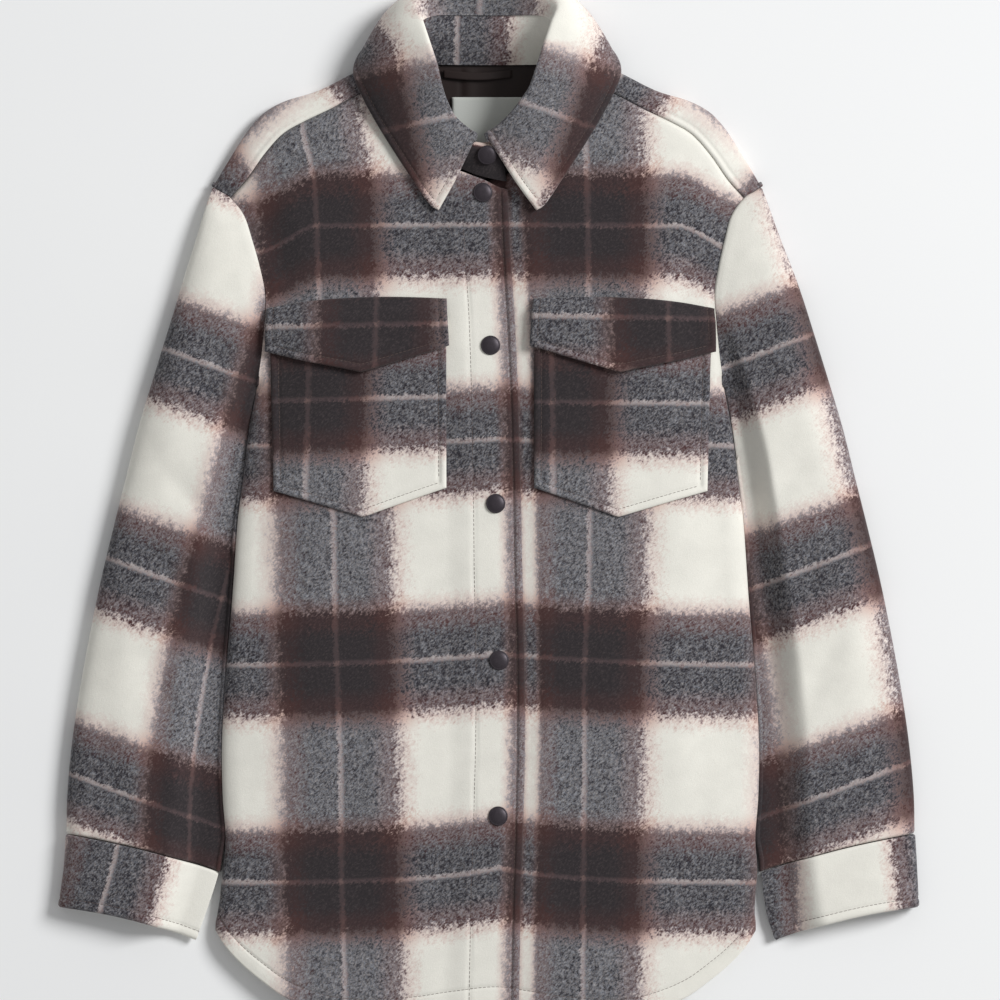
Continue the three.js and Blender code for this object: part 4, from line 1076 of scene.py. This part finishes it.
def tube_grid(table, side, count, is_sleeve):
    index = np.linspace(0, len(table["ox"]) - 1, count)
    column = {k: curve_through(v[:, None], index)[:, 0] for k, v in table.items()}
    column["fade"] = np.interp(index, np.arange(len(table["fade"])), table["fade"])
    q = spread(76)
    back_q = spread(44)[-2:0:-1]
    seam = int(np.argmax(back_q <= UNDER_SEAM))
    both = np.concatenate([back_q[seam:], q, back_q[:seam + 1]])
    part = np.repeat([-1, 0, 1], [len(back_q) - seam, len(q), seam + 1])
    under = part != 0
    place = np.interp(both, ACROSS, np.arange(len(ACROSS))) * ARMHOLE_STEPS
    arm = np.stack([np.interp(place, np.arange(len(ARMHOLE_LINE)), ARMHOLE_LINE[:, k]) for k in (0, 1)], -1)
    col = {k: v[:, None] for k, v in column.items()}
    inner = col["ix"]
    if is_sleeve:
        touching = side_x(np.clip(col["iy"], HEM_CORNER_Y, UNDERARM)) + 0.6
        inner = mix(inner, touching, ease((UNDERARM - col["iy"]) / 30) * (1 - ease((-col["iy"] - 270) / 30)))
    x = mix(col["ox"], inner, both[None])
    y = mix(col["oy"], col["iy"], both[None])
    start_x = mix(SLEEVE["ox"][0], SLEEVE["ix"][0], both)
    start_y = mix(SLEEVE["oy"][0], SLEEVE["iy"][0], both)
    long = np.hypot(col["ix"] - col["ox"], col["iy"] - col["oy"])
    bowed = col["bow"] * 4 * both * (1 - both)
    x = x + col["fade"] * (arm[None, :, 0] - start_x) + (col["iy"] - col["oy"]) / long * bowed
    y = y + col["fade"] * (arm[None, :, 1] - start_y) - (col["ix"] - col["ox"]) / long * bowed
    z_top, z_low = tube_heights(x, y, col, both, long, side, is_sleeve)
    z = np.where(under[None], z_low, z_top)
    return np.stack([side * x, y, z], -1), part[None], both[None], long


def tube_heights(x, y, col, both, long, side, is_sleeve):
    """A sleeve's or cuff's upper and lower side, the inner part of the upper one sunk beside the body."""
    middle = edge_middle(col["oy"])
    lift = np.sqrt(np.maximum(0, 1 - np.abs(2 * both - 1) ** SLEEVE_SQUARENESS))
    own = middle + (col["high"] - middle) * lift
    near = np.minimum(both, 1 - both) * long
    low = middle * (1 - arch(near / UNDER_ROUND))
    tucked = ease((both[None] - TUCK_FROM) / TUCK_OVER)
    if is_sleeve:
        relief = folds(SLEEVE_FOLDS, x, y if side > 0 else y + 14) + 0.8 * sway(x * side, y)
        tucked = tucked * ease((TUCK_BELOW - y) / TUCK_FADE)
        own = mix(own, 2 * CLOTH + SEAM, TUCK_DEPTH * tucked)
        own = own + relief * lift * (1 - col["fade"])
        seam = distance_to(ARMHOLE_COARSE, x, y)
        own = own + 1.6 * np.exp(-((seam - 14) / 12) ** 2) * lift
        z_top = mix(own, top_height(x, y), col["fade"]) + valley(seam, 1.2, 3.5) * lift
        z_low = mix(low, under_height(x, y), col["fade"])
    else:
        own = mix(own, 2 * BAND_CLOTH + SEAM, TUCK_DEPTH * tucked)
        z_top, z_low = own + 0.4 * sway(x * side, y) * lift, low
    return z_top, z_low


def around(run, whole, part):
    """Distance round a sleeve from its outer edge: negative underneath, until its seam."""
    return np.where(part < 0, -run, np.where(part > 0, 2 * whole - run, run))


def sleeve(name, side):
    grid, part, both, long = tube_grid(SLEEVE, side, 210, True)
    uv = sleeve_check(grid[..., 0], grid[..., 1], side, part)
    parts, _ = shell(grid, uv, CLOTH, "v0 v1", 1.6, wrap=True, flip=side > 0)
    make_object(name, [parts], wool, [name])


# Each cuff's line from its outer end at the top, its drift down the cuff, and the repeat
CUFF_LINE = {-1: (44, -9, WEFT_REPEAT), 1: (137, -4, 152)}


def cuff(name, side):
    grid, part, both, long = tube_grid(CUFF, side, 44, False)
    line, drift, repeat = CUFF_LINE[side]
    down = np.linspace(0, 1, grid.shape[0])[:, None] * np.ones(grid.shape[1])
    run = around(both * long, long, part) - drift * down
    uv = np.stack([0.36 + down * 0.29, (run - line) / repeat], -1)
    parts, surface = shell(grid, uv, BAND_CLOTH, "v0 v1", 1.8, wrap=True, flip=side > 0,
                           grooves=[("v1", CUFF_STITCH, 0.6, 1.4)])
    make_object(name, [parts], wool, [name])
    return surface


# Collar
def mirrored_stations(table, shares, shift, drop=None):
    """Stations from the wearer's right front round the back to the left front, each a row of points."""
    points = np.stack([np.stack([table[k + axis] for axis in "xyz"], 1) for k in shares], 1)
    moved = shift[:, None] * np.array(list(shares.values()))
    left, right = points.copy(), points * [-1, 1, 1]
    if drop is not None:
        left[..., 2] -= drop[:, None]
        left[..., 0] = np.maximum(left[..., 0], STAND_LOWER_END)
    left[..., 0] -= moved
    right[..., 0] -= moved
    return np.concatenate([right, left[:-1][::-1]])


def collar_stand():
    drop = STAND_DROP * np.maximum(0, 1 - np.arange(len(STAND["bx"])) / 4)
    stations = mirrored_stations(STAND, dict(b=0, t=1), collar_shift(STAND["ty"]), drop)
    dense = curve_through(stations, np.linspace(0, len(stations) - 1, 150))
    t = spread(20) * 1.05
    grid = mix(dense[:, :1], dense[:, 1:], t[None, :, None])
    grid[..., 2] += STAND_BULGE * np.sin(math.pi * t)
    px, py = photo(grid[..., 0], grid[..., 1])
    # At the stand's front, between the leaf's ends, both thread directions are set near the thin line, the
    # darkest dark-on-dark square. The one running round the stand follows the check there. The other, which
    # the check would make cream, is darkened as painted shade where the collar leaf covers the stand.
    front_share = 1 - ease((grid[..., 1] - 300) / 30)
    rise = (t[None] - 0.5) * 32 / WARP_REPEAT
    top_rim = ease((t[None] - 0.88) / 0.08) * front_share
    uv = np.stack([mix(mix(0.5, 0.1, front_share) + rise, 0.3, top_rim),
                   mix(mix((px - 456.7) / 218, 0.1, front_share), 0.27, top_rim)], -1)
    parts, _ = shell(grid, uv, STAND_CLOTH, "v0 v1", 1.2, middle=True)
    make_object("collar_stand", [parts], wool, ["collar_stand"])


def collar_leaf():
    stations = mirrored_stations(LEAF, LEAF_SHIFT, collar_shift(LEAF["ay"]))
    place = np.linspace(0, len(stations) - 1, 260)
    dense = curve_through(stations, place)
    cross = curve_by_length(dense.transpose(1, 0, 2), spread(64))
    grid = cross.transpose(1, 0, 2)
    share = np.linspace(0, 1, 64)[None] * np.ones((260, 1))
    uv = leaf_check(grid[..., 0], grid[..., 1], share)
    relief = 0.35 * sway(grid[..., 0] * 1.6, grid[..., 1] * 1.6) * np.sin(math.pi * share)
    grid[..., 2] += relief
    parts, surface = shell(grid, uv, BAND_CLOTH, "u1 v0 v1", 1.9, middle=True,
                           grooves=[("u1 v0 v1", EDGE_STITCH, 0.55, 1.3)])
    make_object("collar_leaf", [parts], wool, ["collar_leaf"])
    return surface


# Pockets and flaps
def patch(name, table, side, height, rise, thick, lean_out, check_at):
    u, v = spread(72), spread(60)
    x_line = mix(table["x"][0], table["x"][-1], u)
    top = along(table, "x", "top", x_line)
    low = np.interp(x_line, table["x"], table["low"])
    x = x_line[None] + lean_out(u[None], v[:, None])
    y = mix(top[None], low[None], v[:, None])
    sx = side * x
    base = np.stack([sx, y, height(sx, y)], -1)
    normal = normals_of(base, False) * (-1 if side < 0 else 1)
    lifted = rise(u[None], v[:, None]) + thick
    grid = base + normal * lifted[..., None]
    check = planar_check(grid[..., 0], grid[..., 1], *check_at)
    parts, surface = shell(grid, check, thick, "u0 u1 v0 v1", 1.9, flip=side < 0,
                           grooves=[("u0 u1 v1", EDGE_STITCH, 0.9, 1.5)])
    make_object(name, [parts], wool, [name])
    return surface


def pocket(name, side, height, *check_at):
    return patch(
        name, POCKET, side, height, lambda u, v: SEAM + 0 * u * v, CLOTH + 0.3,
        lambda u, v: POCKET_FLARE * u * (1 - v), check_at)


def flap(name, side, height, *check_at):
    over = CLOTH + 0.6 + 2 * SEAM

    def rise(u, v):
        return (SEAM + (over - SEAM) * ease(v / FLAP_CLIMB)
                + FLAP_STAND_OFF * ease(v) * (1 - np.abs(2 * u - 1)))

    return patch(
        name, FLAP, side, height, rise, BAND_CLOTH,
        lambda u, v: FLAP_NARROW * (1 - u) * (1 - v), check_at)


# Small pieces
def snap(name, centre, normal):
    """A domed cap with a raised rim, lying on the cloth."""
    r, h = SNAP_RADIUS, SNAP_HEIGHT
    profile = np.array([
        (0, 0), (r - 0.6, 0), (r, 0.5), (r + 0.05, 1.0), (r - 0.25, 1.5), (r - 0.7, 1.62), (r - 1.0, 1.5),
        (r - 1.5, 1.75), (r * 0.6, h - 0.3), (r * 0.3, h - 0.05), (0, h),
    ])
    sides = 48
    turn = np.linspace(0, 2 * math.pi, sides, endpoint=False)
    ring = np.stack([np.cos(turn), np.sin(turn)], 1)
    grid = np.concatenate([profile[1:-1, None, :1] * ring[None],
                           np.broadcast_to(profile[1:-1, None, 1:], (len(profile) - 2, sides, 1))], 2)
    count = grid.shape[0]
    points = np.concatenate([grid.reshape(-1, 3), [[0, 0, 0], [0, 0, h]]])
    up = normal / np.linalg.norm(normal)
    first = np.cross([0, 1, 0], up)
    first /= np.linalg.norm(first)
    second = np.cross(up, first)
    points = centre + points[:, :1] * first + points[:, 1:2] * second + points[:, 2:] * up
    faces = grid_faces(count, sides, True, 0, True)
    bottom, top = count * sides, count * sides + 1
    i = np.arange(sides)
    j = (i + 1) % sides
    last = (count - 1) * sides
    bottom_fan = np.stack([j, i, np.full(sides, bottom)], 1)
    top_fan = np.stack([i + last, j + last, np.full(sides, top)], 1)
    mesh = bpy.data.meshes.new(name)
    points[:, 0] += lean(points[:, 0], points[:, 1])
    mesh.from_pydata((points * MM).tolist(), [], faces.tolist() + bottom_fan.tolist() + top_fan.tolist())
    add_piece(name, mesh, snap_metal, [name])


def trim(name, grid, thick, rounded, radius, material, slot, **more):
    """A piece without the check."""
    parts, _ = shell(grid, np.zeros(grid.shape[:2] + (2,)), thick, rounded, radius, **more)
    make_object(name, [parts], material, [name])


LINING_HALF = 66
LINING_TOP = 359.6
LINING_LOW = 268


def neck_lining():
    """Lining inside the back neck, with its pleat beside the middle."""
    x = mix(-LINING_HALF, LINING_HALF, spread(90))[None]
    v = spread(40)[:, None]
    narrow = 1 - 0.12 * ease((v - 0.6) / 0.4) - 0.12 * (1 - ease(v / 0.12))
    gx = x * narrow
    gy = mix(LINING_TOP + 1.2 * (x / LINING_HALF) ** 2, LINING_LOW, v)
    pleat = -0.7 * np.exp(-((gx + 21) / 2.2) ** 2) + 0.8 * np.exp(-((gx + 15) / 6) ** 2)
    z = 3.5 + pleat * ease(v / 0.08) + 0.5 * np.sin(gx / 19 + 2 * v) * ease(v / 0.1) + 0.5
    trim("neck_lining", np.stack([gx, gy, z], -1), 1.0, "u0 u1 v0 v1", 0.6, satin, "satin_lining")


def hang_loop():
    t = np.linspace(0, 1, 40)[:, None]
    w = spread(8)[None]
    hang = np.sin(math.pi * t)
    grid = np.stack([mix(-36, 20, t) + 0 * w, 355.4 - 2.2 * hang - 6.5 * w,
                     5.6 + 1.6 * hang + 0.6 * hang * w + 0 * w], -1)
    trim("hang_loop", grid, 1.0, "u0 u1", 0.5, satin, "satin_lining", middle=True, flip=True)


def neck_label():
    u, v = np.linspace(0, 1, 30)[None], np.linspace(0, 1, 24)[:, None]
    grid = np.stack([mix(-29, 35, u) + 0 * v, mix(333, 293, v) + 1.2 * (u - 0.5) * v,
                     5.4 + 3 * v ** 2 + 0.7 * np.sin(5 * u) * v], -1)
    trim("neck_label", grid, 0.8, "u0 u1 v0 v1", 0.4, label_cloth, "woven_label", middle=True)


back()
yoke()
sleeve("sleeve_left", 1)
sleeve("sleeve_right", -1)
cuff_surfaces = [cuff("cuff_left", 1), cuff("cuff_right", -1)]
collar_stand()
leaf_surface = collar_leaf()
pocket_surfaces = [pocket("pocket_left", 1, lower_height, 50.4, 82.4, -0.01),
                   pocket("pocket_right", -1, upper_height, -149.7, 84, 0.025)]
flap_surfaces = [flap("flap_left", 1, lower_height, 145.5, 151, -0.02),
                 flap("flap_right", -1, upper_height, -93.9, 145.5, 0.02)]
neck_lining()
hang_loop()
neck_label()

# Stitching
patch_sides = [("u0", "v1"), ("u1", "v1"), ("v1", "u0 u1")]
sewn = {
    "stitches_placket": [stitch_path(right_surface, "u0", PLACKET_WIDTH),
                         stitch_path(right_surface, "u0", EDGE_STITCH)],
    "stitches_hem": [stitch_path(s, "v1", HEM_DEPTH) for s in (left_surface, right_surface)],
    "stitches_pockets": [stitch_path(s, side, EDGE_STITCH, others)
                         for s in pocket_surfaces + flap_surfaces for side, others in patch_sides],
    "stitches_collar": [stitch_path(leaf_surface, "u1", EDGE_STITCH, "v0 v1"),
                        stitch_path(leaf_surface, "v0", EDGE_STITCH, "u1"),
                        stitch_path(leaf_surface, "v1", EDGE_STITCH, "u1")],
    "stitches_cuffs": [stitch_path(s, "v1", CUFF_STITCH) for s in cuff_surfaces],
}
for name, paths in sewn.items():
    make_object(name, stitch_parts(paths), thread)

# Snaps
stand_normal = np.array([0, -6.0, 26.5])
stand_normal = stand_normal / np.linalg.norm(stand_normal)
stand_at = np.array([0, mix(266.5, 293, 0.7), mix(22, 28, 0.7)])
snap("snap_1", stand_at + stand_normal * (STAND_CLOTH / 2 + STAND_BULGE + 2 * SEAM), stand_normal)
for number, snap_y in enumerate(SNAP_Y, 2):
    snap_x = float(placket_x(snap_y)) - SNAP_INSET
    ground = float(upper_height(np.array([snap_x]), np.array([snap_y]))[0])
    snap(f"snap_{number}", np.array([snap_x, snap_y, ground + 0.1]), np.array([0.0, 0.0, 1.0]))


# Floor, light and camera
def floor():
    mesh = bpy.data.meshes.new("floor")
    mesh.from_pydata([(-3, -3, 0), (3, -3, 0), (3, 3, 0), (-3, 3, 0)], [], [(0, 1, 2, 3)])
    material, tree, shader = new_material("floor")
    place = object_place(tree)
    paint(tree, shader, blend(tree, noise(tree, place, 3.0), linear(243, 244, 245), linear(247, 248, 248)))
    set_inputs(shader, Roughness=0.9)
    mesh.materials.append(material)
    made = add_object("floor", mesh)
    made.location.z = -0.0004


def area_light(name, place, size, power):
    data = bpy.data.lights.new(name, "AREA")
    data.shape = "DISK"
    data.size = size
    data.energy = power
    made = add_object(name, data)
    made.location = place
    direction = -np.array(place)
    made.rotation_euler = (math.acos(-direction[2] / np.linalg.norm(direction)), 0,
                           math.atan2(direction[1], direction[0]) - math.pi / 2)


KEY_PLACE = (5.2, 2.8, 4.6)
KEY_SIZE = 3.0
KEY_POWER = 520
SKY_STRENGTH = 0.36
CAMERA_HEIGHT = 5.0
FRAME_WIDTH = 0.82
FRAME_LEVEL = 0.015  # height at which the frame is FRAME_WIDTH wide
SENSOR = 36.0


def camera():
    data = bpy.data.cameras.new("camera")
    data.sensor_width = SENSOR
    data.lens = SENSOR * (CAMERA_HEIGHT - FRAME_LEVEL) / FRAME_WIDTH
    made = add_object("camera", data)
    made.location = ((500 - PHOTO_X) * PIXEL * MM, (PHOTO_Y - 500) * PIXEL * MM, CAMERA_HEIGHT)
    data.clip_end = 50
    bpy.context.scene.camera = made


floor()
area_light("key", KEY_PLACE, KEY_SIZE, KEY_POWER)
world = bpy.data.worlds.new("studio")
world.use_nodes = True
world.node_tree.nodes["Background"].inputs["Color"].default_value = (1, 1, 1, 1)
world.node_tree.nodes["Background"].inputs["Strength"].default_value = SKY_STRENGTH
bpy.context.scene.world = world
bpy.context.scene.view_settings.view_transform = "Standard"
camera()
